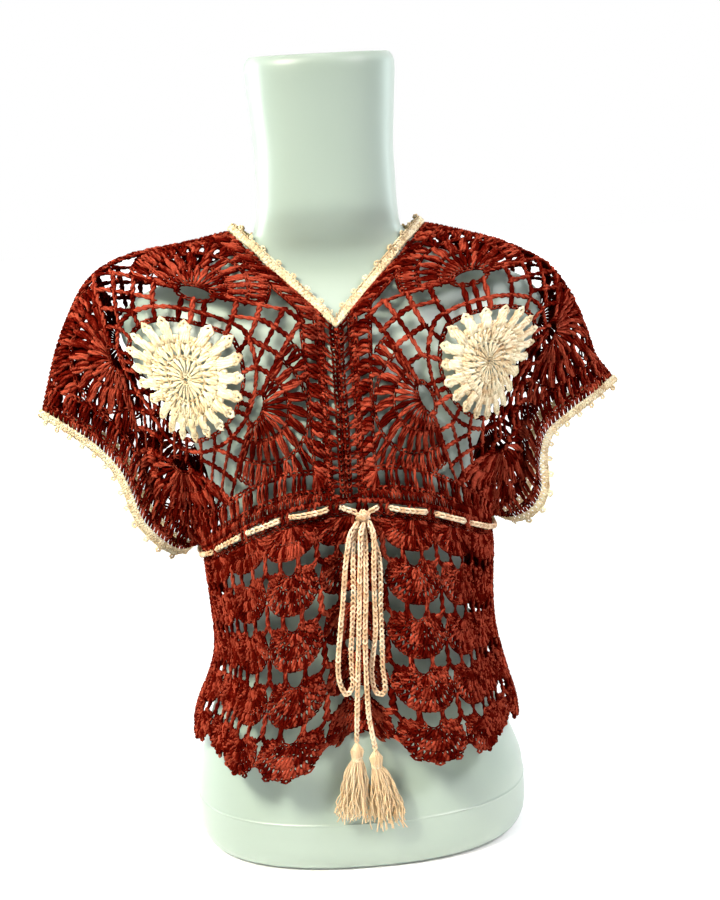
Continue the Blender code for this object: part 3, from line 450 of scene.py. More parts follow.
# %% [markdown]
# Stitches. Yarn is a tube, so each stitch is one or two short tubes, grown along a path with an extrusion for
# each step. A double crochet is a post of two strands wound round each other, a chain is a row of teardrop
# loops that pass through one another, and a single crochet is a small V. Each is modelled once in its own
# units: along the stitch from 0 to 1, across it, and out of the cloth. Two values ride on every point, how far
# round and how far along the yarn it lies, and they become the UV map that the twist of the yarn follows.

# %% Stitch shapes
def section(path, k, closed):
    """Matrix of the yarn's section at a point of its path."""
    count = len(path)
    before = path[(k - 1) % count] if closed or k > 0 else path[k]
    after = path[(k + 1) % count] if closed or k < count - 1 else path[k]
    ahead = (Vector(after) - Vector(before)).normalized()
    side = ahead.cross(Vector((0.0, 0.0, 1.0))).normalized()
    up = side.cross(ahead)
    return Matrix.Translation(Vector(path[k])) @ Matrix((side, up, ahead)).transposed().to_4x4()


def grow_tube(work, path, radius, sides, closed=False):
    """One strand of yarn along the path: a circle, extruded and moved from each point to the next."""
    round_, along = (work.verts.layers.float[name] for name in ("round", "along"))
    here = section(path, 0, closed)
    made = bmesh.ops.create_circle(work, cap_ends=not closed, segments=sides, radius=radius, matrix=here)
    ring = made["verts"]
    inverse = here.inverted()
    for vert in ring:
        local = inverse @ vert.co
        vert[round_] = (math.atan2(local.y, local.x) / (2 * math.pi)) % 1.0
        vert[along] = 0.0
    first = edges = [e for e in work.edges if e.verts[0] in ring and e.verts[1] in ring]
    for k in range(1, len(path)):
        grown = bmesh.ops.extrude_edge_only(work, edges=edges)["geom"]
        ring = [g for g in grown if isinstance(g, bmesh.types.BMVert)]
        edges = [g for g in grown if isinstance(g, bmesh.types.BMEdge) and g.verts[0] in ring and g.verts[1] in ring]
        there = section(path, k, closed)
        bmesh.ops.transform(work, matrix=there @ here.inverted(), verts=ring)
        for vert in ring:
            vert[along] = k / len(path)
        here = there
    if closed:
        bmesh.ops.bridge_loops(work, edges=first + edges)
    else:
        bmesh.ops.edgeloop_fill(work, edges=edges)


def make_stitch(strands, sides=4):
    """A stitch from its strands, each (path, radius, closed), as arrays that can be laid many times."""
    work = bmesh.new()
    work.verts.layers.float.new("round")
    work.verts.layers.float.new("along")
    for path, radius, closed in strands:
        grow_tube(work, path, radius, sides, closed)
    bmesh.ops.recalc_face_normals(work, faces=work.faces)
    work.verts.index_update()
    round_, along = (work.verts.layers.float[name] for name in ("round", "along"))
    points = np.array([tuple(vert.co) for vert in work.verts])
    loops, sizes, uv = [], [], []
    for face in work.faces:
        turns = [vert[round_] for vert in face.verts]
        wraps = max(turns) - min(turns) > 0.5
        loops.extend(vert.index for vert in face.verts)
        sizes.append(len(face.verts))
        uv.extend((t + 1.0 if wraps and t < 0.5 else t, vert[along]) for t, vert in zip(turns, face.verts))
    work.free()
    return {"points": points, "loops": np.array(loops), "sizes": np.array(sizes), "uv": np.array(uv)}


def wound(turns, spans, reach, phase, ends=(-0.06, 1.06), aspect=4.0):
    """Path of one of two strands that wind round each other along a post."""
    path = []
    for k in range(spans + 1):
        s = ends[0] + (ends[1] - ends[0]) * k / spans
        a = phase + 2 * math.pi * turns * k / spans
        path.append((s * aspect, reach * math.cos(a), 0.8 * reach * math.sin(a)))
    return path


def in_units(stitch, aspect):
    """Along runs from 0 to 1 whatever the length of the stitch."""
    stitch["points"][:, 0] /= aspect
    return stitch


def teardrop(spans, long, wide, lean):
    """Path of a chain loop: its head is high and wide, its tail low and narrow."""
    path = []
    for k in range(spans):
        a = 2 * math.pi * k / spans
        path.append((0.5 + long * math.cos(a), wide * math.sin(a) * (0.85 + 0.30 * math.cos(a)), lean * math.cos(a)))
    return path


POST_ASPECT = 3.6
POST = in_units(make_stitch([
    (wound(0.70, 3, 0.25, 0.4 + phase, aspect=POST_ASPECT), 0.262, False) for phase in (0.0, math.pi)
]), POST_ASPECT)
LONG_POST = in_units(make_stitch([
    (wound(1.2, 5, 0.25, 0.4 + phase, aspect=POST_ASPECT), 0.262, False) for phase in (0.0, math.pi)
]), POST_ASPECT)
LINK = make_stitch([(teardrop(6, 0.70, 0.37, 0.24), 0.225, True)], 3)
CORD_LINK = make_stitch([(teardrop(6, 0.70, 0.37, 0.24), 0.215, True)])
VEE = make_stitch([
    ([(-0.12, sign * 0.06, -0.10), (0.45, sign * 0.26, 0.14), (1.12, sign * 0.34, -0.02)], 0.24, False)
    for sign in (-1, 1)
])
LOOP = make_stitch([(teardrop(6, 0.50, 0.40, 0.05), 0.24, True)])
ROPE = in_units(make_stitch([
    (wound(1.3, 6, 0.24, 0.4 + phase, aspect=2.6), 0.27, False) for phase in (0.0, math.pi)
]), 2.6)
for title, stitch in (("post", POST), ("long post", LONG_POST), ("rope", ROPE), ("link", LINK), ("vee", VEE), ("loop", LOOP)):
    print(title, "has", int((stitch["sizes"] - 2).sum()), "triangles")

# %% [markdown]
# A cloth is a surface sampled on an even grid: it says where a flat point of the cloth lies in space and which
# way is out. A stitch is laid by giving its foot and its tip in the flat cloth, and its points follow the
# surface between them. Real lengths are measured on the surface, so a chain has links of one size wherever
# it runs.

# %% Cloth and needlework
class Cloth:
    """Where the points of a flat cloth lie in space, and which way is out, from an even grid of points."""

    def __init__(self, points, low, high, outward):
        self.points = points
        self.low, self.high = np.array(low, float), np.array(high, float)
        self.steps = np.array(points.shape[:2])
        normals = np.cross(np.gradient(points, axis=0), np.gradient(points, axis=1))
        size = np.linalg.norm(normals, axis=-1)
        size[size < 1e-12] = 1.0
        normals /= size[..., None]
        self.turn = 1.0 if (normals * outward).sum() > 0 else -1.0
        self.normals = normals * self.turn

    def place(self, a, b, out):
        spot = (np.stack([a, b], axis=-1) - self.low) / (self.high - self.low) * (self.steps - 1)
        k = np.clip(np.floor(spot).astype(int), 0, self.steps - 2)
        f = spot - k
        found = 0.0
        up = 0.0
        for i in (0, 1):
            for j in (0, 1):
                share = np.where(i, f[..., 0], 1 - f[..., 0]) * np.where(j, f[..., 1], 1 - f[..., 1])
                found = found + share[..., None] * self.points[k[..., 0] + i, k[..., 1] + j]
                held = np.clip(share, 0.0, 1.0)[..., None]
                up = up + held * self.normals[k[..., 0] + i, k[..., 1] + j]
        return found + unit(up) * out[..., None]


def sample(point_at, low, high, steps, outward):
    """A cloth over the form, from a function of its flat points."""
    a, b = (np.linspace(low[k], high[k], steps[k]) for k in (0, 1))
    grid = np.meshgrid(a, b, indexing="ij")
    points = off_form(point_at(grid[0].ravel(), grid[1].ravel()), CLEAR + WALL / 2)
    points = points.reshape(*steps, 3)
    return Cloth(points, low, high, outward(points))


class Stitches:
    """Collects laid stitches and makes one mesh of them."""

    def __init__(self, name):
        self.name, self.runs, self.upper = name, [], False

    def add(self, stitch, points, tone=None):
        count = len(points)
        if tone is None:
            tone = rng.random(count)
        if count:
            # Painted shade and painted highlight: each point's height out of the cloth darkens the low sides of the
            # stitch and lightens its raised top, mixed half and half with the stitch's random tone.
            lift = stitch["points"][:, 2]
            lift = (lift - lift.min()) / np.ptp(lift)
            upper = self.upper or any(stitch is kind for kind in (LINK, LOOP, ROPE))
            self.runs.append((stitch, points, (0.5 * tone[:, None] + 0.5 * lift).ravel(), upper))

    def mesh_of(self, title, runs, material):
        mesh = bpy.data.meshes.new(title)
        points = np.concatenate([run[1].reshape(-1, 3) for run in runs])
        tones = np.concatenate([run[2] for run in runs])
        loops, sizes, uv, first = [], [], [], 0
        for stitch, laid, *_ in runs:
            count, each = laid.shape[:2]
            shift = first + each * np.arange(count)
            loops.append((stitch["loops"][None] + shift[:, None]).ravel())
            sizes.append(np.tile(stitch["sizes"], count))
            uv.append(np.tile(stitch["uv"], (count, 1)))
            first += count * each
        loops, sizes, uv = np.concatenate(loops), np.concatenate(sizes), np.concatenate(uv)
        mesh.vertices.add(len(points))
        mesh.vertices.foreach_set("co", points.astype(np.float32).ravel())
        mesh.loops.add(len(loops))
        mesh.loops.foreach_set("vertex_index", loops.astype(np.int32))
        mesh.polygons.add(len(sizes))
        mesh.polygons.foreach_set("loop_start", np.r_[0, np.cumsum(sizes)[:-1]].astype(np.int32))
        mesh.update(calc_edges=True)
        mesh.polygons.foreach_set("use_smooth", np.ones(len(sizes), bool))
        layer = mesh.uv_layers.new(name="yarn")
        layer.data.foreach_set("uv", uv.astype(np.float32).ravel())
        # The tone attribute carries the random tone of each stitch and the painted shade and painted highlight of its
        # relief.
        shade = mesh.attributes.new("tone", "FLOAT", "POINT")
        shade.data.foreach_set("value", tones.astype(np.float32))
        mesh.validate()
        mesh.materials.append(material)
        made = bpy.data.objects.new(title, mesh)
        bpy.context.scene.collection.objects.link(made)
        surface = sum(face.area for face in mesh.polygons) * 1e4
        print(title, "has", int((sizes - 2).sum()), "triangles and", round(surface), "square centimetres of yarn")
        return made

    def make(self, material, slot, node):
        """One piece of all the stitches."""
        made = self.mesh_of(self.name, self.runs, material)
        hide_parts(node)
        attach(made, "root")
        return made

    def make_cloth(self, material, node):
        """The ground stitches as one mesh, and what lies on them as a second mesh: chains, ropes, picots and raised
        stitches.
        """
        for title, upper in ((self.name, False), (self.name + "_upper", True)):
            part = self.mesh_of(title, [run for run in self.runs if run[3] == upper], material)
            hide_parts(node)
            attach(part, "root")


def lay(work, cloth, stitch, foot, tip, width, tip_width=None, out=0.0, tip_out=None, thick=1.0):
    """Lays one stitch for each row of foot and tip, flat points of the cloth."""
    foot, tip = np.atleast_2d(foot).astype(float), np.atleast_2d(tip).astype(float)
    if not len(foot):
        return
    many = np.ones(len(foot))
    width = width * many * (1 + 0.10 * (rng.random(len(foot)) - 0.5))
    tip_width = width if tip_width is None else tip_width * many
    out = out * many + 0.0004 * (rng.random(len(foot)) - 0.5)
    tip_out = out if tip_out is None else tip_out * many
    s, t, z = stitch["points"].T
    run = tip - foot
    side = unit(np.stack([-run[:, 1], run[:, 0]], axis=1)) * cloth.turn
    wide = width[:, None] * (1 - s) + tip_width[:, None] * s
    flat = foot[:, None] + run[:, None] * s[None, :, None] + side[:, None] * (t * wide)[..., None]
    rise = out[:, None] * (1 - s) + tip_out[:, None] * s + z * wide * thick
    work.add(stitch, cloth.place(flat[..., 0], flat[..., 1], rise))


def along_line(cloth, line, pitch, closed=False, least=1):
    """Flat points along a line of the cloth, a real pitch apart."""
    line = np.asarray(line, float)
    if closed:
        line = np.vstack([line, line[:1]])
    fine = [line[:1]]
    for a, b in zip(line[:-1], line[1:]):
        fine.append(a + (b - a) * np.linspace(0, 1, 5)[1:, None])
    fine = np.vstack(fine)
    real = cloth.place(fine[:, 0], fine[:, 1], np.zeros(len(fine)))
    length = np.r_[0.0, np.cumsum(np.linalg.norm(np.diff(real, axis=0), axis=1))]
    count = max(least, round(length[-1] / pitch))
    at = np.linspace(0, length[-1], count + 1)
    return np.stack([np.interp(at, length, fine[:, k]) for k in (0, 1)], axis=1)


def chain(work, cloth, line, pitch=0.0052, width=0.0042, closed=False, out=0.0):
    """A line of chain stitches."""
    spots = along_line(cloth, line, pitch, closed)
    lay(work, cloth, LINK, spots[:-1], spots[1:], width, out=out)


def row(work, cloth, low_line, high_line, pitch, width, stitch=None, closed=False, out=0.0):
    """A row of stitches from one line to another."""
    low = along_line(cloth, low_line, pitch, closed)
    count = len(low) - 1
    fine = along_line(cloth, high_line, pitch / 4, closed)
    share = np.linspace(0, 1, len(fine))
    at = (np.arange(count) + 0.5) / count
    high = np.stack([np.interp(at, share, fine[:, k]) for k in (0, 1)], axis=1)
    foot = (low[:-1] + low[1:]) / 2
    lay(work, cloth, stitch or POST, foot, high, width, out=out)


print("cloth and needlework helpers ready")

# %% [markdown]
# Finishes. Cotton yarn is matt with a soft sheen. Its colour varies a little from stitch to stitch, where the
# dye took differently, and carries painted shade: darker on the low sides of each stitch and lighter on its raised
# top, a painted highlight. Two fine bumps give it the twist of the plies and the fluff of the fibres. The form is satin
# plastic.

# %% Materials
def nodes_of(name):
    made = bpy.data.materials.new(name)
    made.use_nodes = True
    tree = made.node_tree
    return made, tree.nodes, tree.links, tree.nodes["Principled BSDF"]


def cotton(name, deep, middle, light, sheen):
    """Twisted cotton yarn in three tones of one colour; the tone attribute also paints shade on the low sides of each
    stitch and a highlight on its top.
    """
    made, nodes, links, shader = nodes_of(name)
    tone = nodes.new("ShaderNodeAttribute")
    tone.attribute_name = "tone"
    where = nodes.new("ShaderNodeTexCoord")
    patches = nodes.new("ShaderNodeTexNoise")
    patches.inputs["Scale"].default_value = 34.0
    patches.inputs["Detail"].default_value = 3.0
    links.new(where.outputs["Object"], patches.inputs["Vector"])
    mixed = nodes.new("ShaderNodeMath")
    mixed.operation = "MULTIPLY_ADD"
    mixed.inputs[1].default_value = 0.76
    links.new(tone.outputs["Fac"], mixed.inputs[0])
    share = nodes.new("ShaderNodeMath")
    share.operation = "MULTIPLY"
    share.inputs[1].default_value = 0.32
    links.new(patches.outputs["Fac"], share.inputs[0])
    specks = nodes.new("ShaderNodeTexNoise")
    specks.inputs["Scale"].default_value = 480.0
    specks.inputs["Detail"].default_value = 2.0
    links.new(where.outputs["Object"], specks.inputs["Vector"])
    fibres = nodes.new("ShaderNodeMath")
    fibres.operation = "MULTIPLY_ADD"
    fibres.inputs[1].default_value = 0.32
    links.new(specks.outputs["Fac"], fibres.inputs[0])
    links.new(share.outputs[0], fibres.inputs[2])
    links.new(fibres.outputs[0], mixed.inputs[2])
    # The ramp's deep end serves as painted shade and its light end as painted highlight where the tone attribute's
    # relief drives them, besides the random tones.
    ramp = nodes.new("ShaderNodeValToRGB")
    ramp.color_ramp.elements[0].position = 0.52
    ramp.color_ramp.elements[0].color = (*deep, 1.0)
    ramp.color_ramp.elements[1].position = 1.00
    ramp.color_ramp.elements[1].color = (*light, 1.0)
    ramp.color_ramp.elements.new(0.78).color = (*middle, 1.0)
    links.new(mixed.outputs[0], ramp.inputs["Fac"])
    links.new(ramp.outputs["Color"], shader.inputs["Base Color"])
    shader.inputs["Roughness"].default_value = 0.82
    shader.inputs["Sheen Weight"].default_value = sheen
    shader.inputs["Sheen Roughness"].default_value = 0.45
    shader.inputs["Sheen Tint"].default_value = (*light, 1.0)
    shader.inputs["Specular IOR Level"].default_value = 0.8 * sheen
    yarn = nodes.new("ShaderNodeUVMap")
    yarn.uv_map = "yarn"
    slant = nodes.new("ShaderNodeMapping")
    slant.inputs["Rotation"].default_value = (0.0, 0.0, math.radians(35))
    slant.inputs["Scale"].default_value = (3.0, 7.0, 1.0)
    links.new(yarn.outputs["UV"], slant.inputs["Vector"])
    plies = nodes.new("ShaderNodeTexWave")
    plies.inputs["Scale"].default_value = 0.6
    plies.inputs["Distortion"].default_value = 0.6
    links.new(slant.outputs["Vector"], plies.inputs["Vector"])
    fluff = nodes.new("ShaderNodeTexNoise")
    fluff.inputs["Scale"].default_value = 1500.0
    fluff.inputs["Detail"].default_value = 4.0
    links.new(where.outputs["Object"], fluff.inputs["Vector"])
    twist = nodes.new("ShaderNodeBump")
    twist.inputs["Strength"].default_value = 0.55
    twist.inputs["Distance"].default_value = 0.0006
    links.new(plies.outputs["Fac"], twist.inputs["Height"])
    fuzz = nodes.new("ShaderNodeBump")
    fuzz.inputs["Strength"].default_value = 0.35
    fuzz.inputs["Distance"].default_value = 0.0004
    links.new(fluff.outputs["Fac"], fuzz.inputs["Height"])
    links.new(twist.outputs["Normal"], fuzz.inputs["Normal"])
    links.new(fuzz.outputs["Normal"], shader.inputs["Normal"])
    return made


# Deep, middle and light tones of each yarn; through the tone attribute the deep one also gives painted shade and the
# light one a painted highlight.
RUST = cotton("rust_cotton_yarn", (0.026, 0.0004, 0.0002), (0.104, 0.0042, 0.0016), (0.410, 0.066, 0.033), 0.0)
CREAM = cotton("cream_cotton_yarn", (0.64, 0.44, 0.23), (0.92, 0.79, 0.50), (1.00, 0.93, 0.68), 0.10)
PEACH = cotton("peach_cotton_yarn", (0.68, 0.42, 0.22), (0.90, 0.65, 0.41), (1.00, 0.86, 0.62), 0.10)
ENDS = cotton("peach_cotton_ends", (0.90, 0.66, 0.38), (1.00, 0.86, 0.58), (1.00, 0.96, 0.78), 0.10)


def plastic():
    """Pale mint moulding plastic: satin, a little cloudy, with the fine grain of the mould."""
    made, nodes, links, shader = nodes_of("mint_form_plastic")
    where = nodes.new("ShaderNodeTexCoord")
    cloud = nodes.new("ShaderNodeTexNoise")
    cloud.inputs["Scale"].default_value = 5.0
    links.new(where.outputs["Object"], cloud.inputs["Vector"])
    ramp = nodes.new("ShaderNodeValToRGB")
    ramp.color_ramp.elements[0].position = 0.3
    ramp.color_ramp.elements[0].color = (0.32, 0.41, 0.34, 1.0)
    ramp.color_ramp.elements[1].position = 0.7
    ramp.color_ramp.elements[1].color = (0.36, 0.46, 0.39, 1.0)
    links.new(cloud.outputs["Fac"], ramp.inputs["Fac"])
    links.new(ramp.outputs["Color"], shader.inputs["Base Color"])
    shader.inputs["Roughness"].default_value = 0.42
    shader.inputs["Specular IOR Level"].default_value = 0.6
    shader.inputs["Coat Weight"].default_value = 0.8
    shader.inputs["Coat Roughness"].default_value = 0.45
    grain = nodes.new("ShaderNodeTexNoise")
    grain.inputs["Scale"].default_value = 420.0
    grain.inputs["Detail"].default_value = 2.0
    links.new(where.outputs["Object"], grain.inputs["Vector"])
    bump = nodes.new("ShaderNodeBump")
    bump.inputs["Strength"].default_value = 0.06
    bump.inputs["Distance"].default_value = 0.0003
    links.new(grain.outputs["Fac"], bump.inputs["Height"])
    links.new(bump.outputs["Normal"], shader.inputs["Normal"])
    return made


form.data.materials.append(plastic())
print("materials:", [m.name for m in bpy.data.materials if m.users])

# %% [markdown]
# One square motif. From the middle out it has the flower, a net of chain arches that runs at forty-five
# degrees between the corners, a fan in each corner whose rounds open from a long eye, and a close border.
# The fans measure their rounds in real millimetres, so they stay round where the cloth is stretched.

# %% Motif helpers
BORDER = NET_TOP      # the close border starts here, from the middle of the motif
BORDER_TOP = 0.1190
FAN_ROUNDS = (0.0285, 0.0470, 0.0640)
FAN_SWEEP = 92.0


def stretch(cloth, at, directions):
    """How much longer the real cloth is than the flat one, from a point in each direction."""
    step = 0.02
    ends = at + directions * step
    real = cloth.place(ends[:, 0], ends[:, 1], np.zeros(len(ends)))
    here = cloth.place(np.array([at[0]]), np.array([at[1]]), np.zeros(1))
    return np.linalg.norm(real - here, axis=1) / step


def lay_fan(work, cloth, corner):
    """The corner fan: an eye, a round of double crochet, a round of clusters, and a round of pairs."""
    at = np.array(corner) * EYE_AT * HALF
    ahead = np.array(corner) / math.sqrt(2)
    across = np.array([-ahead[1], ahead[0]])

    def ray(turn):
        a = np.radians(np.atleast_1d(turn))[:, None]
        return ahead * np.cos(a) + across * np.sin(a)

    def room(turn):
        away = ray(turn) * np.sign(at)
        with np.errstate(divide="ignore"):
            free = np.where(away > 1e-6, (BORDER - np.abs(at)) / away, np.inf)
        return free.min(axis=1)

    def spot(turn, real):
        turn = np.atleast_1d(turn)
        flat = np.minimum(real / stretch(cloth, at, ray(turn)), room(turn))
        return at + ray(turn) * flat[:, None]

    def reach(turn):
        turn = np.atleast_1d(turn)
        return room(turn) * stretch(cloth, at, ray(turn))

    def rim(turn, more):
        a = np.radians(turn)
        edge = 1 / np.sqrt((np.cos(a) / EYE_WIDE) ** 2 + (np.sin(a) / EYE_LONG) ** 2) + more
        return at + ray(turn) * edge[:, None]

    def arc(real, sweep, count=25):
        turns = np.linspace(-sweep, sweep, count)
        free = reach(turns) > real
        runs = np.split(np.arange(count), np.flatnonzero(np.diff(free)) + 1)
        for run in runs:
            if free[run[0]] and len(run) > 1:
                chain(work, cloth, spot(turns[run], real))

    first, second, third = FAN_ROUNDS
    full = 1.35 if corner[0] > 0 else 1.0      # drawn wider on the sleeve side, where the cloth is bunched
    chain(work, cloth, rim(np.linspace(0, 340, 18), 0.0012), closed=True, width=0.0046)
    turns = np.linspace(-88, 88, 16)
    lay(work, cloth, POST, rim(turns, 0.0022), spot(turns, first), 0.0034, 0.0054 * full)
    arc(first + 0.0014, FAN_SWEEP)
    middles = np.linspace(-84, 84, 13)
    middles = middles[reach(middles) > first + 0.010]
    for lean in (-4.2, 0.0, 4.2):
        work.upper = lean == 0.0
        lay(work, cloth, POST, spot(middles + lean, first + 0.0024), spot(middles + 0.35 * lean, second), 0.0048 * full, 0.0040 * full)
    work.upper = False
    arc(second + 0.0014, FAN_SWEEP)
    pairs = np.linspace(-87, 87, 19)
    pairs = pairs[reach(pairs) > second + 0.008]
    for lean in (-2.4, 2.4):
        lay(work, cloth, POST, spot(pairs + 0.5 * lean, second + 0.0026), spot(pairs + lean, third), 0.0046 * full, 0.0048 * full)
    arc(third + 0.0014, FAN_SWEEP - 4)
    corners = np.linspace(-42, 42, 15)
    corners = corners[reach(corners) > third + 0.007]
    if len(corners):
        lay(work, cloth, POST, spot(corners, third + 0.0024), spot(corners, 1.0), 0.0052 * full, 0.0060 * full)


def flower_spot(share, turn):
    """A point of the flower at a share of its radius and an angle in degrees."""
    a = np.radians(turn)
    p, q = share * flower_size * FLOWER_WIDE * np.cos(a), share * flower_size * FLOWER_TALL * np.sin(a)
    c, s = math.cos(-math.pi / 4), math.sin(-math.pi / 4)
    return np.stack([p * c - q * s, p * s + q * c], axis=-1)


def lay_net(work, cloth):
    """The chain netting between the fans, hung from the border and caught on the flower."""
    ring = flower_spot(1.02, np.arange(0, 360, 9))
    chain(work, cloth, ring, closed=True, width=0.0046)
    step = NET_PITCH / math.sqrt(2)
    for quarter in range(4):
        c, s = round(math.cos(quarter * math.pi / 2)), round(math.sin(quarter * math.pi / 2))
        turned = np.array([[c, s], [-s, c]])

        def node(i, j):
            return np.array([NET_TOP - (i + j) * step, (j - i) * step]) @ turned

        for i in range(NET_ROWS):
            for j in range(NET_ROWS - i):
                for end in ((i + 1, j), (i, j + 1)):
                    lay(work, cloth, ROPE, node(i, j), node(*end), 0.0048, out=0.0003)
        knots = np.array([node(i, j) for i in range(NET_ROWS + 1) for j in range(NET_ROWS + 1 - i)])
        lean = 0.0026 * np.array([1.0, 0.0]) @ turned
        lay(work, cloth, POST, knots - lean, knots + lean, 0.0062, out=0.0004)
        inner = [node(i, NET_ROWS - i) for i in range(1, NET_ROWS)]
        eye = np.array([1.0, -1.0]) @ turned * EYE_AT * HALF
        inward = -eye / np.linalg.norm(eye)
        beside = np.array([-inward[1], inward[0]])
        inner += [eye + inward * EYE_WIDE + beside * shift for shift in (-0.008, 0.0, 0.008)]
        for start in inner:
            near = ring[np.argmin(np.linalg.norm(ring - start * 0.92, axis=1))]
            lay(work, cloth, ROPE, start, near, 0.0048, out=0.0003)
        turns = np.arange(quarter * 90.0, quarter * 90.0 + 90.0, 12.8)
        lay(work, cloth, ROPE, flower_spot(1.24, turns), flower_spot(1.24, turns + 12.8), 0.0048, out=0.0003)


def lay_border(work, cloth):
    """The close border: a chain, a row of double crochet, a chain and a row of single crochet."""
    for quarter in range(4):
        c, s = round(math.cos(quarter * math.pi / 2)), round(math.sin(quarter * math.pi / 2))
        turned = np.array([[c, s], [-s, c]])

        def line(away, half):
            return np.array([(away, -half), (away, half)]) @ turned

        out = np.array([1.0, 0.0]) @ turned
        chain(work, cloth, line(BORDER, BORDER))
        spots = along_line(cloth, line(BORDER + 0.0008, BORDER), 0.0044)
        spots = spots[np.arange(len(spots)) % 4 != 3]
        lay(work, cloth, POST, spots, spots + out * (BORDER_TOP - BORDER - 0.0012), 0.0062, 0.0050)
        for turn in (22, 45, 68):
            a = math.radians(turn)
            lean = np.array([math.cos(a), math.sin(a)]) @ turned
            corner = np.array([BORDER, BORDER]) @ turned
            lay(work, cloth, POST, corner, corner + lean * 0.0135, 0.0044, 0.0060)
        chain(work, cloth, line(BORDER_TOP, BORDER_TOP))
        spots = along_line(cloth, line(BORDER_TOP + 0.0006, BORDER_TOP), 0.0046)
        lay(work, cloth, VEE, spots, spots + out * 0.0040, 0.0054)


def lay_flower(work, cloth):
    """The flower: a hub, thin spokes, a round of pairs over a filled ground, and clustered petals with picots."""
    chain(work, cloth, flower_spot(0.07, np.arange(0, 360, 45)), closed=True, pitch=0.0036, width=0.0036, out=0.0006)
    turns = np.arange(20) * 18.0
    lay(work, cloth, POST, flower_spot(0.08, turns), flower_spot(0.34, turns), 0.0022, 0.0044, out=0.0006)
    chain(work, cloth, flower_spot(0.36, np.arange(0, 360, 12)), closed=True, width=0.0048, out=0.0006)
    turns = np.arange(24) * 15.0 + 4.0
    for lean in (-3.2, 3.2):
        lay(work, cloth, POST, flower_spot(0.37, turns + 0.3 * lean), flower_spot(0.58, turns + lean), 0.0040, 0.0052, out=0.0010)
    chain(work, cloth, flower_spot(0.60, np.arange(0, 360, 9)), closed=True, width=0.0050, out=0.0004)
    work.upper = True
    for lean in (-3.6, 0.0, 3.6):
        lay(work, cloth, POST, flower_spot(0.56, turns + 7.5 + lean), flower_spot(0.74, turns + 7.5 + lean), 0.0050, 0.0056)
    work.upper = False
    turns = np.arange(20) * 18.0 + 4.0
    far = 0.86 + 0.05 * rng.random(20)
    for lean in (-4.2, -1.4, 1.4, 4.2):
        work.upper = abs(lean) > 3
        lay(work, cloth, POST, flower_spot(0.63, turns + lean), flower_spot(far, turns + 0.55 * lean), 0.0042, 0.0046, out=0.0014)
    lay(work, cloth, LOOP, flower_spot(far - 0.03, turns), flower_spot(far + 0.13, turns), 0.0062, out=0.0012)
    for lean in (-2.2, 2.2):
        lay(work, cloth, LOOP, flower_spot(far - 0.05, turns + lean), flower_spot(far + 0.07, turns + 1.25 * lean), 0.0052, out=0.0010)


# %% [markdown]
# The yoke. The same motif is worked four times. The cloth is sampled over a square of the motif's side, and
# the rust stitches leave the flower's place open.

# %% Yoke and flowers
FLOWER_SIZE = {-1: 1.0, 1: 0.90}      # the right one is worked smaller and tighter


def ease(b):
    """The net is stretched towards the shoulder fold, and the border is drawn up narrow there."""
    return np.interp(b, (-HALF, -NET_TOP, -0.084, HALF), (-HALF, -0.1175, -0.084, HALF))


for (side, face), patch in PATCHES.items():
    flower_size = FLOWER_SIZE[side]
    rough = np.array([side * 0.25, -1.0 if face == "front" else 1.0, 0.45])
    cloth = sample(
        lambda a, b: patch(a / MOTIF + 0.5, ease(b) / MOTIF + 0.5), (-HALF, -HALF), (HALF, HALF), (72, 72), lambda p: rough
    )
    title = f"{face}_{SIDE_NAME[side]}"
    blossom = Stitches(f"flower_work_{title}")
    lay_flower(blossom, cloth)
    blossom.make_cloth(CREAM, f"flower_{title}")
    work = Stitches(f"yoke_work_{title}")
    for corner in ((-1, -1), (1, -1), (1, 1), (-1, 1)):
        lay_fan(work, cloth, corner)
    lay_net(work, cloth)
    lay_border(work, cloth)
    work.make_cloth(RUST, f"yoke_{title}")

# %% [markdown]
# The lower body is a tube of shells, worked from the waist down. Under a close top edge runs a row of eyelets
# for the drawstring. Each shell opens downwards from a short chain like a fan of double crochet in two rounds,
# and between two tiers stand slim bars, so a round gap and two slits repeat all the way round. The hem ends in
# a scallop of little picots.

# %% Lower body
DEG = 0.0024          # flat metres round for one degree
DEEP = 0.235          # flat metres from waist seam to hem
CORD_DOWN = 0.037
CORD_SHIFT = -0.0030   # the eyelets lie this much further round than half way between the middles
KNOT_ANGLE = 94.0
FINE = np.linspace(KNOT_ANGLE, KNOT_ANGLE + 360.0, 1441)


def arc_of(angles, down):
    points = lower_point(angles, np.full(len(angles), down))
    return np.r_[0.0, np.cumsum(np.linalg.norm(np.diff(points, axis=0), axis=1))]


ARC = arc_of(FINE, CORD_DOWN)
PERIODS = round(ARC[-1] / (CORD_OVER + CORD_UNDER))
PERIOD = ARC[-1] / PERIODS


def angle_at(length):
    return np.interp(length % ARC[-1], ARC, FINE)


def crossings():
    """Lengths along the waist where the drawstring goes through the cloth, none of them over a side."""
    under = CORD_UNDER / (CORD_OVER + CORD_UNDER) * PERIOD
    middles = (np.arange(PERIODS) + 0.5) * PERIOD + CORD_SHIFT
    pairs = np.stack([middles - under / 2, middles + under / 2], axis=1)
    off_side = np.abs((angle_at(pairs) + 90.0) % 180.0 - 90.0).min(axis=1)
    return pairs[off_side > 4.0].reshape(-1)


SHELL_STEP = 360.0 / REPEATS * DEG
GAPS = [(0.225 + 0.205 * tier) * DEEP for tier in range(TIERS)]     # middles of the rows of gaps
HOLE = (0.0070, 0.0076)                           # half width and half height of the hole over a shell
SLIT_REACH = (0.0600, 0.0280, 0.0224, 0.0194, 0.0186)     # a shell keeps clear of the slits beside it by reaching this far only
EYELET_TOP, EYELET_FOOT = 0.0040, 0.0142


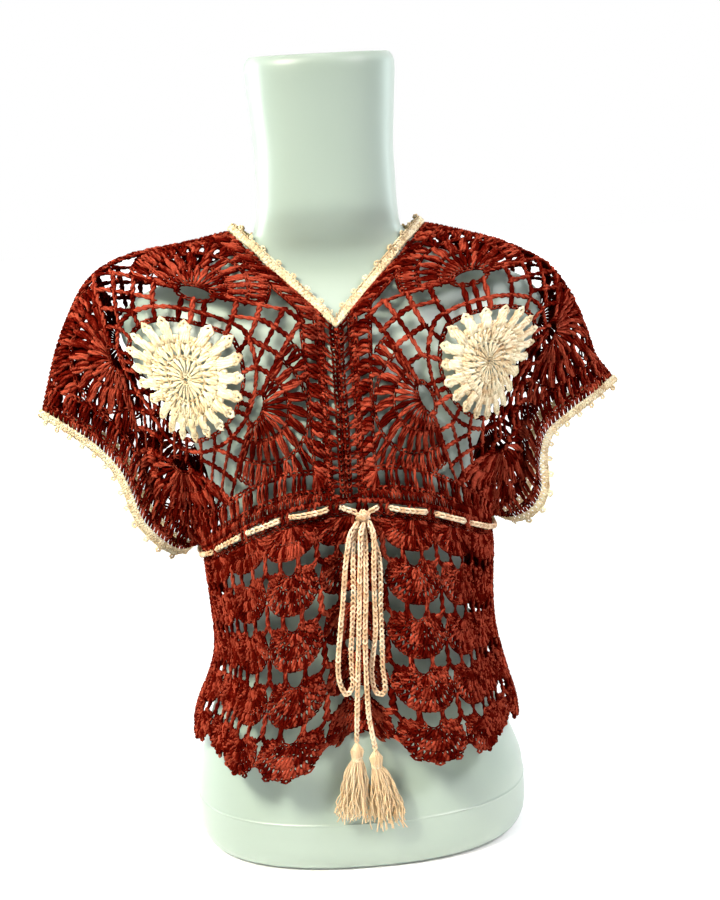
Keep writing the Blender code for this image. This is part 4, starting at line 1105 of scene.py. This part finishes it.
def lay_shell(work, cloth, middle, top, foot, under_hole, hem):
    """One shell: rounds of double crochet that open downwards from the rim of a hole, or from a row at the top."""
    wide, deep = SHELL_STEP / 2 + 0.0004, foot - top

    def spot(share, turn):
        turn = np.atleast_1d(turn)
        a = np.radians(turn)
        reach = (np.abs(np.sin(a) / wide) ** 2.8 + np.abs(np.cos(a) / deep) ** 2.8) ** (-1 / 2.8)
        if under_hole:
            reach = np.minimum(reach, np.interp(np.abs(turn), (44.0, 54.0, 64.0, 76.0, 90.0), SLIT_REACH))
        rim = HOLE if under_hole else (0.0082, 0.0010)
        base = np.stack([middle + rim[0] * np.sin(a), top + rim[1] * np.cos(a)], axis=1)
        tip = np.stack([middle + reach * np.sin(a), top + reach * np.cos(a)], axis=1)
        return base + (tip - base) * share

    counts = (10, 17, 22) if under_hole else (12, 21)
    each = 1.0 / len(counts)
    for i, count in enumerate(counts):
        t = np.linspace(-1, 1, count)
        turns = 82 * np.sign(t) * np.abs(t) ** 1.2
        work.upper = i == 2
        lay(work, cloth, POST, spot(i * each + 0.01, turns), spot((i + 1) * each - 0.03, turns), 0.0043, 0.0055)
        inner = i < len(counts) - 1
        rim_line = spot((i + 1) * each - 0.02, np.linspace(-86, 86, 13 + 3 * i))
        chain(work, cloth, rim_line, pitch=0.0056 if inner else 0.0046, out=0.0002 if inner else 0.0005)
    work.upper = False
    if under_hole:
        chain(work, cloth, spot(0.0, np.linspace(-90, 90, 9)), width=0.0040, out=0.0004)
    if hem:
        turns = np.linspace(-66, 66, 7)
        lay(work, cloth, LOOP, spot(0.97, turns), spot(1.12, turns), 0.0062)


def lay_lower(title, first, last):
    work = Stitches(f"lower_work_{title}")
    steps = (181, 56)
    cloth = sample(
        lambda a, b: lower_point(a / DEG, b / DEEP), (first * DEG, 0.0), (last * DEG, DEEP), steps,
        lambda p: p * (1, 1, 0),
    )
    left, right = first * DEG, last * DEG
    for down in (0.0006,):
        spots = along_line(cloth, [(left, down), (right, down)], 0.0044)
        lay(work, cloth, VEE, spots, spots + (0.0, 0.0040), 0.0054)
    chain(work, cloth, [(left, EYELET_TOP - 0.0004), (right, EYELET_TOP - 0.0004)])
    through = crossings()
    solid = (through[0::2] + through[1::2]) / 2
    posts = np.r_[solid, np.arange(PERIODS + 1) * PERIOD]
    angles = angle_at(posts) % 360.0
    angles = angles[(angles > first + 0.5) & (angles < last - 0.5)]
    for shift in (-0.0024, 0.0024):
        foot = np.stack([angles * DEG + shift, np.full(len(angles), EYELET_TOP)], axis=1)
        lay(work, cloth, POST, foot, foot + (0.0, EYELET_FOOT - EYELET_TOP), 0.0046)
    chain(work, cloth, [(left, EYELET_FOOT), (right, EYELET_FOOT)])
    chain(work, cloth, [(left, EYELET_FOOT + 0.003), (right, EYELET_FOOT + 0.003)])
    tops = [EYELET_FOOT + 0.004] + [gap + 0.0010 for gap in GAPS]
    feet = [gap - HOLE[1] for gap in GAPS] + [DEEP]
    for k in range(round(first * REPEATS / 360), round(last * REPEATS / 360)):
        middle, edge = (k + 0.5) * SHELL_STEP, (k + 1) * SHELL_STEP
        for tier, (top, foot) in enumerate(zip(tops, feet)):
            lay_shell(work, cloth, middle, top, foot, under_hole=tier > 0, hem=tier == TIERS)
        work.upper = True
        for gap in GAPS:
            for sign in (-1, 1):
                for foot_x, tip_x in ((0.0072, 0.0092), (0.0096, 0.0074)):
                    lay(
                        work, cloth, POST, (middle + sign * foot_x, gap - 0.0100),
                        (middle + sign * tip_x, gap + 0.0045), 0.0044,
                    )
            lay(work, cloth, LONG_POST, (edge, gap - 0.0205), (edge, gap - 0.0010), 0.0056)
            for sign in (-1, 1):
                lay(
                    work, cloth, POST, (edge - sign * 0.0008, gap - 0.0040),
                    (edge + sign * 0.0040, gap + 0.0052), 0.0046,
                )
        work.upper = False
    round_, down = np.linalg.norm(np.diff(cloth.points, axis=0), axis=-1), np.linalg.norm(np.diff(cloth.points, axis=1), axis=-1)
    work.make_cloth(RUST, f"lower_{title}")


lay_lower("front", 0.0, 180.0)
lay_lower("back", 180.0, 360.0)

# %% [markdown]
# Bands. A band is a narrow cloth beside an edge: the centre seams between the squares are ribbed rows of
# single crochet, and the cream edgings of the neck and sleeves are single crochet with a picot now and then.
# For an edging, the direction across and the direction out are found at each point of the edge.

# %% Bands
def ribbon(edge, across, outward, width, slack=0.0):
    """A cloth beside an edge. Flat points are the real length along it and the distance from it."""
    length = np.r_[0.0, np.cumsum(np.linalg.norm(np.diff(edge, axis=0), axis=1))]
    even = np.linspace(0, length[-1], 4 * len(edge))
    fine = [np.stack([np.interp(even, length, part[:, k]) for k in range(3)], axis=1) for part in (edge, across, outward)]
    shares = np.array([slack, (slack + width) / 2, width])
    points = fine[0][:, None] + fine[1][:, None] * shares[None, :, None]
    cloth = Cloth(points, (0.0, slack), (length[-1], width), np.repeat(fine[2][:, None], 3, axis=1))
    cloth.normals = np.repeat(unit(fine[2])[:, None], 3, axis=1)
    return cloth


def edge_frame(patch, u, v, sign, side):
    """Direction across and outward direction at points on the sleeve edge of a patch."""
    step = 0.02
    across = patch(u, v) - patch(u - step, v)
    run = unit(patch(u, np.clip(v + step, 0, 1)) - patch(u, np.clip(v - step, 0, 1)))
    across = unit(across - (across * run).sum(-1)[:, None] * run)
    normal = np.cross(across, run)
    rough = np.array([side * 0.25, sign, 0.45])
    normal *= np.sign(normal @ rough)[:, None]
    return across, unit(normal)


def close_up(parts):
    """Joins runs of sections end to end, averaging the sections where two runs meet."""
    line = [np.array(part) for part in parts]
    for i in range(len(line)):
        j = (i + 1) % len(line)
        meet = (line[i][-1] + line[j][0]) / 2
        line[i][-1] = meet
        line[j][0] = meet
    return np.concatenate([part[:-1] for part in line])


def cuff_loop(side):
    v = np.linspace(0, 1, MOTIF_STEPS + 1)
    one = np.ones_like(v)
    runs = []
    for face, sign in (("front", -1.0), ("back", 1.0)):
        across, normal = edge_frame(PATCHES[side, face], one, v, sign, side)
        across[0] = across[0] * (1, 0, 1)
        run = np.stack([PATCHES[side, face](one, v), across, normal], axis=1)
        runs.append(run if face == "front" else run[::-1])
    loop = close_up(runs)
    loop = np.concatenate([loop, loop[:1]])
    edge, across, normal = loop[:, 0], unit(loop[:, 1]), loop[:, 2]
    return edge, across, unit(normal - (normal * across).sum(-1)[:, None] * across)


def neck_loop():
    runs = []
    for face, side, turn in (("front", -1, 1), ("front", 1, -1), ("back", 1, 1), ("back", -1, -1)):
        v_y, v_z = NECK_V[face]
        neck_x, neck_z = SHOULDER[side][0]
        share = SEAM_HALF / neck_x
        t = np.r_[np.linspace(0, 1 - share, 8), 1.0][:, None]
        a, b = np.array([side * neck_x, 0.0, neck_z]), np.array([0.0, v_y, v_z])
        edge = off_form(a + (b - a) * t, CLEAR + WALL / 2)
        run = unit(np.gradient(edge, axis=0))
        normal = np.array([tuple(FORM_TREE.find_nearest(Vector(p))[1]) for p in edge])
        normal[1:-1] = (normal[:-2] + normal[1:-1] + normal[2:]) / 3
        normal = unit(normal - (normal * run).sum(-1)[:, None] * run)
        inward = np.cross(normal, run)
        inward *= np.sign(inward[:, 0] * -side + inward[:, 2])[:, None]
        part = np.stack([edge, inward, normal], axis=1)
        runs.append(part if turn > 0 else part[::-1])
    loop = close_up(runs)
    loop = np.concatenate([loop, loop[:1]])
    edge, inward, normal = loop[:, 0], unit(loop[:, 1]), loop[:, 2]
    far = off_form(edge + inward * NECK_BAND, CLEAR + WALL / 2)
    inward = unit(far - edge)
    return edge, inward, unit(normal - (normal * inward).sum(-1)[:, None] * inward)


def lay_edging(title, node, loop, width, picot_every, picot):
    """Two rows of single crochet beside an edge, closed with a chain, and a picot at even distances."""
    cloth = ribbon(*loop, width)
    length = cloth.high[0]
    work = Stitches(title)
    for low in (0.0006, 0.0036):
        spots = along_line(cloth, [(0.0, low), (length, low)], 0.0042)
        lay(work, cloth, VEE, spots[:-1], spots[:-1] + (0.0, 0.0034), 0.0050)
    chain(work, cloth, [(0.0, width - 0.0010), (length, width - 0.0010)], pitch=0.0044, width=0.0040)
    count = round(length / picot_every)
    at = (np.arange(count) + 0.5) * length / count
    foot = np.stack([at, np.full(count, width - 0.0004)], axis=1)
    lay(work, cloth, LOOP, foot, foot + (0.0, picot), 0.0056, out=0.0002)
    work.make_cloth(CREAM, node)
    print(title, "is", round(float(length), 3), "m long")


lay_edging("neck_work", "neck_edging", neck_loop(), NECK_BAND, 0.0185, 0.0036)
for side in (-1, 1):
    name = SIDE_NAME[side]
    lay_edging(f"cuff_work_{name}", f"cuff_edging_{name}", cuff_loop(side), CUFF_BAND, 0.0160, 0.0050)


def lay_seam(face):
    """Ridges of chain run down the seam, with short rows between them."""
    v_y, v_z = NECK_V[face]
    neck_x, neck_z = SHOULDER[-1][0]
    half = SEAM_HALF - SEAM / 2

    def point_at(x, t):
        share = np.abs(x) / neck_x
        top = np.stack([x, v_y * (1 - share), v_z + (neck_z - v_z) * share], axis=1)
        angle = 90.0 + x / 0.139 * 57.3 if face == "front" else 270.0 - x / 0.139 * 57.3
        low = lower_point(angle, np.zeros(len(x)))
        low[:, 0] = x
        return top + (low - top) * (t / SEAM_LONG)[:, None]

    cloth = sample(point_at, (-half, 0.0), (half, SEAM_LONG), (9, 30), lambda p: p * (0, 1, 0))
    work = Stitches(f"seam_work_{face}")
    for x in (-0.0030, 0.0030):
        chain(work, cloth, [(x, 0.001), (x, SEAM_LONG - 0.001)], pitch=0.0046, width=0.0060, out=0.0016)
    spots = along_line(cloth, [(0.0, 0.001), (0.0, SEAM_LONG - 0.002)], 0.0042)
    lay(work, cloth, VEE, spots[:-1], spots[1:], 0.0040, out=0.0004)
    for inner, outer in ((-0.0042, -half), (0.0042, half)):
        spots = along_line(cloth, [(inner, 0.002), (inner, SEAM_LONG - 0.002)], 0.0043)
        spots = spots[np.arange(len(spots)) % 3 != 2]
        lay(work, cloth, POST, spots, spots + (outer - inner, 0.0), 0.0038, 0.0044)
        chain(work, cloth, [(outer, 0.001), (outer, SEAM_LONG - 0.001)])
    work.make_cloth(RUST, f"centre_{face}_seam")


SEAM_LONG = 0.158
lay_seam("front")
lay_seam("back")

# %% [markdown]
# The drawstring is a crocheted chain, a plait of loops five millimetres wide. It is woven through the eyelets
# with both ends in front, tied in a bow with long loops, and the ends carry tassels. Each stretch is a cord of
# its own: its path is the one the solid has, and links are laid along it, so the cord keeps its real length.

# %% Drawstring
CORD_OFF = WALL / 2 + CORD_R + 0.0012
RAMP = 0.0044         # half of the length in which it goes through the cloth
CORD_STEP = 0.0120
KNOT = (0.0070, 0.0046, 0.0060)       # half width, half depth and half height of the knot
DIP = 0.0060          # the knot pulls the drawstring down this far
DIP_LONG = 0.0138     # and this far to each side
CORD_WIDE = 0.0052
CORD_PITCH = 0.0049


def waist_line(lengths, offsets):
    """Points beside the cloth at lengths round the waist."""
    angle = angle_at(lengths)
    down = np.full(len(lengths), CORD_DOWN)
    here = lower_point(angle, down)
    run = unit(lower_point(angle + 1.0, down) - lower_point(angle - 1.0, down))
    fall = unit(lower_point(angle, down + 0.03) - lower_point(angle, down - 0.03))
    out = unit(np.cross(run, fall))
    out *= np.sign((out * (here * (1, 1, 0))).sum(-1))[:, None]
    away = np.minimum(lengths, ARC[-1] - lengths) / DIP_LONG
    here[:, 2] -= DIP * (0.5 + 0.5 * np.cos(math.pi * np.clip(away, 0, 1)))
    return here + out * offsets[:, None]


def woven_path():
    through = crossings()
    lengths, offsets = [KNOT[0] - 0.0007], [CORD_OFF]
    outside = True
    for here, after in zip(through, np.r_[through[1:], ARC[-1]]):
        lengths += [here - RAMP, here + RAMP]
        offsets += [CORD_OFF if outside else -CORD_OFF, -CORD_OFF if outside else CORD_OFF]
        outside = not outside
        for k in range(1, round((after - here) / PERIOD * 2)):
            lengths.append(here + (after - here) * k / round((after - here) / PERIOD * 2))
            offsets.append(CORD_OFF)
    lengths.append(ARC[-1] - KNOT[0] + 0.0007)
    offsets.append(CORD_OFF)
    order = np.argsort(lengths)
    return waist_line(np.array(lengths)[order], np.array(offsets)[order])


# Hanging strands: height below the knot's middle, distance to the right of it, distance in front
HANG_Y = 0.0030
STRANDS = {
    "loop_left": (
        (0.0051, -0.0050, 0.0025), (0.014, -0.0120, 0.0025), (0.042, -0.0180, 0.0030), (0.071, -0.0215, 0.0030),
        (0.108, -0.0265, 0.0030), (0.137, -0.0300, 0.0035), (0.154, -0.0293, 0.0035), (0.165, -0.0255, 0.0030),
        (0.167, -0.0210, 0.0020), (0.160, -0.0178, 0.0015), (0.128, -0.0175, 0.0025), (0.108, -0.0158, 0.0030),
        (0.071, -0.0125, 0.0030), (0.042, -0.0112, 0.0020), (0.024, -0.0095, -0.0015), (0.012, -0.0065, -0.0025),
        (0.0051, -0.0050, -0.0020),
    ),
    "loop_right": (
        (0.0051, 0.0050, 0.0025), (0.014, 0.0085, 0.0025), (0.028, 0.0085, 0.0025), (0.044, 0.0075, 0.0010),
        (0.071, 0.0065, 0.0005), (0.108, 0.0060, 0.0000), (0.128, 0.0030, -0.0010), (0.146, 0.0005, -0.0010),
        (0.161, 0.0015, -0.0010), (0.170, 0.0050, -0.0012), (0.172, 0.0098, -0.0015), (0.164, 0.0125, -0.0015),
        (0.146, 0.0110, -0.0015), (0.116, 0.0115, -0.0015), (0.086, 0.0118, -0.0015), (0.056, 0.0130, -0.0020),
        (0.036, 0.0125, -0.0025), (0.020, 0.0080, -0.0028), (0.0051, 0.0050, -0.0020),
    ),
    "end_left": (
        (0.0060, 0.0000, 0.0025), (0.016, -0.0030, 0.0030), (0.042, -0.0050, 0.0035), (0.071, -0.0070, 0.0035),
        (0.108, -0.0095, 0.0035), (0.141, -0.0120, 0.0040), (0.176, -0.0145, 0.0045), (0.212, -0.0170, 0.0050),
    ),
    "end_right": (
        (0.0063, 0.0000, -0.0020), (0.014, 0.0010, -0.0025), (0.028, 0.0010, -0.0010), (0.044, 0.0000, 0.0035),
        (0.071, -0.0012, 0.0035), (0.108, -0.0038, 0.0035), (0.141, -0.0048, 0.0040), (0.176, -0.0048, 0.0045),
        (0.196, -0.0035, 0.0050), (0.220, 0.0000, 0.0055),
    ),
}
KNOT_AT = waist_line(np.zeros(1), np.array([WALL / 2 + KNOT[1] + 0.0012]))[0]


def hang(rows):
    flat = np.array(rows)
    chord = np.linalg.norm(np.diff(flat, axis=0), axis=1).sum()
    even = spline(flat, np.linspace(0, 1, int(chord / CORD_STEP) + 2))
    lean = HANG_Y * np.clip(even[:, 0] / 0.04, 0, 1)
    return KNOT_AT + np.c_[even[:, 1], -even[:, 2] - lean, -even[:, 0]]


def resample(path, pitch):
    """Points a pitch apart on a smooth curve through the path, and the length of that curve."""
    path = np.asarray(path, float)
    fine = spline(path, np.linspace(0, 1, 12 * len(path)))
    length = np.r_[0.0, np.cumsum(np.linalg.norm(np.diff(fine, axis=0), axis=1))]
    count = max(2, round(length[-1] / pitch))
    at = np.linspace(0, length[-1], count + 1)
    return np.stack([np.interp(at, length, fine[:, k]) for k in range(3)], axis=1), float(length[-1])


def plait(work, path, outward, pitch=CORD_PITCH, width=CORD_WIDE, stitch=CORD_LINK):
    """Chain links along a path in space, facing outward."""
    spots, length = resample(path, pitch)
    foot, tip = spots[:-1], spots[1:]
    run = tip - foot
    ahead = unit(run)
    facing = outward((foot + tip) / 2)
    facing = unit(facing - (facing * ahead).sum(-1)[:, None] * ahead)
    side = np.cross(facing, ahead)
    s, t, z = stitch["points"].T
    points = (
        foot[:, None] + run[:, None] * s[None, :, None]
        + side[:, None] * (t * width)[None, :, None] + facing[:, None] * (z * width)[None, :, None]
    )
    work.add(stitch, points)
    return spots, length


def declare_cord(work, node, length):
    made = work.make(PEACH, "peach_cotton", node)
    print(made.name, "is", round(length, 3), "m long")


def outward_waist(points):
    return points * (1, 1, 0)


def outward_front(points):
    lean = np.sin(points[:, 2] * 60.0 + points[:, 0] * 200.0) * 0.5
    return np.stack([lean, -np.ones(len(points)), np.zeros(len(points))], axis=1)


# %% [markdown]
# The knot is a short stretch of the same plait wound over itself, and each tassel is a bundle of cut strands
# tied under the cord's last link, with a wrap of yarn round its neck.

# %% Knot and tassels
def plain_tube(spans, sides=4):
    return in_units(make_stitch([([(s * 8.0 / spans, 0.0, 0.0) for s in range(spans + 1)], 0.5, False)], sides), 8.0)


STRAND = plain_tube(12, 3)


def lay_strands(work, centre_at, radius):
    """Bends a straight tube along each of many paths: centre_at(share) gives one row of points for each strand."""
    s, t, z = STRAND["points"].T
    points = centre_at(s)
    across = np.stack([t, z, np.zeros(len(t))], axis=1) * 2 * radius
    work.add(STRAND, points + across[None])


def knot_piece():
    work = Stitches("knot_work")
    wide, deep, tall = KNOT
    for turn, tilt in ((0.0, 0.35), (0.0, -0.35), (90.0, 0.15), (90.0, -0.20), (45.0, 0.0)):
        a = np.linspace(0, 2 * math.pi, 15)
        c, s = math.cos(math.radians(turn)), math.sin(math.radians(turn))
        ring = np.stack([np.cos(a), np.sin(a), np.full(15, tilt)], axis=1)
        ring = ring / np.linalg.norm(ring, axis=1)[:, None]
        ring = np.stack([ring[:, 0] * c - ring[:, 2] * s, ring[:, 1], ring[:, 0] * s + ring[:, 2] * c], axis=1)
        path = KNOT_AT + ring * np.array([wide * 0.80, deep * 0.62, tall * 0.80])
        plait(work, path, lambda p: p - KNOT_AT, pitch=0.0040, width=0.0042)
    return work.make(PEACH, "peach_cotton", "drawstring_knot")


def tassel_piece(name, top, lean, seed):
    draws = np.random.default_rng(seed)
    work = Stitches(f"tassel_work_{name}")
    count, head, skirt = 84, 0.0085, 0.067
    top = np.array(top)
    middle = top - (0, 0, head + 0.0004)
    turn = np.arange(count) * 2.39996
    share = np.sqrt((np.arange(count) + 0.5) / count)
    tip = np.stack([np.cos(turn) * 0.0172 * share + lean, np.sin(turn) * 0.0090 * share], axis=1)
    tip += draws.normal(0, 0.0022, tip.shape)
    long = skirt * (0.84 + 0.22 * draws.random(count))
    wave = draws.normal(0, 1.0, (2, count, 2)) * (0.0021, 0.0010)
    phase = draws.random((2, count, 2)) * 2 * math.pi

    def centre_at(s):
        s = s[None, :, None]
        neck = np.stack([np.cos(turn), np.sin(turn)], axis=1)[:, None] * (share[:, None, None] * 0.0036)
        belly = np.stack([np.cos(turn), np.sin(turn)], axis=1)[:, None] * (share[:, None, None] * 0.0044)
        head_part = np.clip(s / 0.16, 0, 1)
        skirt_part = np.clip((s - 0.16) / 0.84, 0, 1)
        flat = belly * np.sin(math.pi * head_part) + neck * head_part
        flat = flat + (tip[:, None] - neck) * skirt_part**0.55
        curl = sum(
            wave[k][:, None] * np.sin(phase[k][:, None] + (7 + 6 * k) * skirt_part) * skirt_part for k in (0, 1)
        )
        flat = flat + curl
        fall = -(2 * head) * head_part - (long[:, None, None] - head) * skirt_part
        return np.concatenate([flat[..., :1], flat[..., 1:], np.broadcast_to(fall, flat[..., :1].shape)], axis=-1) + top

    lay_strands(work, centre_at, 0.00070)
    for level in (0.0, 0.0016, 0.0032):
        a = np.linspace(0, 2 * math.pi, 13)
        ring = np.stack([np.cos(a), np.sin(a), 0 * a], axis=1) * (0.0042, 0.0042, 0)
        path = middle + ring - (0, 0, head * 0.72 + level)
        plait(work, path, lambda p: (p - middle) * (1, 1, 0), pitch=0.0030, width=0.0022, stitch=POST)
    return work.make(ENDS, "peach_cotton", f"tassel_{name}")


knot = knot_piece()
tassels = {
    name: tassel_piece(name, hang(STRANDS[f"end_{name}"])[-1], lean, seed)
    for name, lean, seed in (("left", -0.0060, 3), ("right", 0.0085, 5))
}

work = Stitches("drawstring_waist_work")
spots, length = plait(work, woven_path(), outward_waist)
declare_cord(work, "drawstring_waist", length)
for name, rows in STRANDS.items():
    work = Stitches(f"drawstring_{name}_work")
    spots, length = plait(work, hang(rows), outward_front)
    if name.startswith("end"):
        declare_cord(work, f"drawstring_{name}", length)
    else:
        declare_cord(work, f"drawstring_{name}", length)

# %% [markdown]
# The stage is a plain pale floor that glows a little as painted light, more behind the form and far from it, a bright
# even surround and large soft lamps: one on each side in front, and one from above, as for a product on a white ground.

# %% Stage and light
def soft_lamp(title, at, size, power, colour=(1.0, 1.0, 1.0), spread=180.0, aim_at=0.38):
    data = bpy.data.lights.new(title, "AREA")
    data.shape = "RECTANGLE"
    data.size, data.size_y = size
    data.energy = power
    data.color = colour
    data.spread = math.radians(spread)
    lamp = bpy.data.objects.new(title, data)
    aim = (Vector((0.0, 0.0, aim_at)) - Vector(at)).to_track_quat("-Z", "Y")
    lamp.matrix_world = Matrix.Translation(at) @ aim.to_matrix().to_4x4()
    bpy.context.scene.collection.objects.link(lamp)


FLOOR_HALF = 6.0
floor_work = bmesh.new()
bmesh.ops.create_grid(floor_work, x_segments=2, y_segments=2, size=FLOOR_HALF)
floor_mesh = bpy.data.meshes.new("floor")
floor_work.to_mesh(floor_mesh)
floor_work.free()
floor = bpy.data.objects.new("floor", floor_mesh)
bpy.context.scene.collection.objects.link(floor)
made, nodes, links, shader = nodes_of("pale_glowing_floor")
shader.inputs["Base Color"].default_value = (0.92, 0.92, 0.92, 1.0)
shader.inputs["Roughness"].default_value = 0.9
shader.inputs["Emission Color"].default_value = (1.0, 1.0, 1.0, 1.0)
shader.inputs["Emission Strength"].default_value = 0.12
# Painted light: the floor glows, with emission 0.10 near the form rising to 0.80 behind it and far from it, so that it
# reads white.
where = nodes.new("ShaderNodeTexCoord")
away = nodes.new("ShaderNodeSeparateXYZ")
links.new(where.outputs["Object"], away.inputs["Vector"])
glow = nodes.new("ShaderNodeMapRange")
for name, value in (("From Min", 0.3), ("From Max", 2.2), ("To Min", 0.10), ("To Max", 0.80)):
    glow.inputs[name].default_value = value
links.new(away.outputs["Y"], glow.inputs["Value"])
far = nodes.new("ShaderNodeVectorMath")
far.operation = "LENGTH"
links.new(where.outputs["Object"], far.inputs[0])
beyond = nodes.new("ShaderNodeMapRange")
for name, value in (("From Min", 1.1), ("From Max", 3.0), ("To Min", 0.10), ("To Max", 0.80)):
    beyond.inputs[name].default_value = value
links.new(far.outputs["Value"], beyond.inputs["Value"])
brighter = nodes.new("ShaderNodeMath")
brighter.operation = "MAXIMUM"
links.new(glow.outputs["Result"], brighter.inputs[0])
links.new(beyond.outputs["Result"], brighter.inputs[1])
links.new(brighter.outputs[0], shader.inputs["Emission Strength"])
floor_mesh.materials.append(made)

SKY_BEHIND, SKY_FRONT = 1.30, 0.05    # brightness of the surround behind the top and in front of it

world = bpy.data.worlds.new("surround")
bpy.context.scene.world = world
world.use_nodes = True
nodes, links = world.node_tree.nodes, world.node_tree.links
shade = nodes["Background"]
toward = nodes.new("ShaderNodeTexCoord")
split = nodes.new("ShaderNodeSeparateXYZ")
links.new(toward.outputs["Generated"], split.inputs["Vector"])
fade = nodes.new("ShaderNodeMapRange")
fade.interpolation_type = "SMOOTHSTEP"
for name, value in (("From Min", -0.6), ("From Max", 0.7), ("To Min", SKY_FRONT), ("To Max", SKY_BEHIND)):
    fade.inputs[name].default_value = value
links.new(split.outputs["Y"], fade.inputs["Value"])
links.new(fade.outputs["Result"], shade.inputs["Strength"])
shade.inputs["Color"].default_value = (1.0, 1.0, 1.0, 1.0)
plain = nodes.new("ShaderNodeBackground")
plain.inputs["Color"].default_value = (1.0, 1.0, 1.0, 1.0)
path = nodes.new("ShaderNodeLightPath")
either = nodes.new("ShaderNodeMixShader")
links.new(path.outputs["Is Camera Ray"], either.inputs["Fac"])
links.new(shade.outputs["Background"], either.inputs[1])
links.new(plain.outputs["Background"], either.inputs[2])
links.new(either.outputs["Shader"], nodes["World Output"].inputs["Surface"])
soft_lamp("left_lamp", (-1.0, -1.0, 1.70), (0.4, 0.5), 3.6, (1.0, 0.93, 0.80), spread=40.0, aim_at=0.20)
soft_lamp("right_lamp", (1.05, -1.0, 1.60), (0.4, 0.5), 1.4, (1.0, 0.90, 0.98), spread=40.0, aim_at=0.20)
soft_lamp("left_rim", (-1.1, 0.40, 0.75), (0.3, 0.8), 9, (0.92, 1.0, 0.98))
soft_lamp("right_rim", (1.1, 0.45, 0.75), (0.3, 0.8), 4, (0.82, 1.0, 1.0))
soft_lamp("top_lamp", (0.1, -0.5, 2.2), (0.6, 0.6), 4)
bpy.context.scene.view_settings.view_transform = "Standard"
print("floor, surround and three lamps are set")
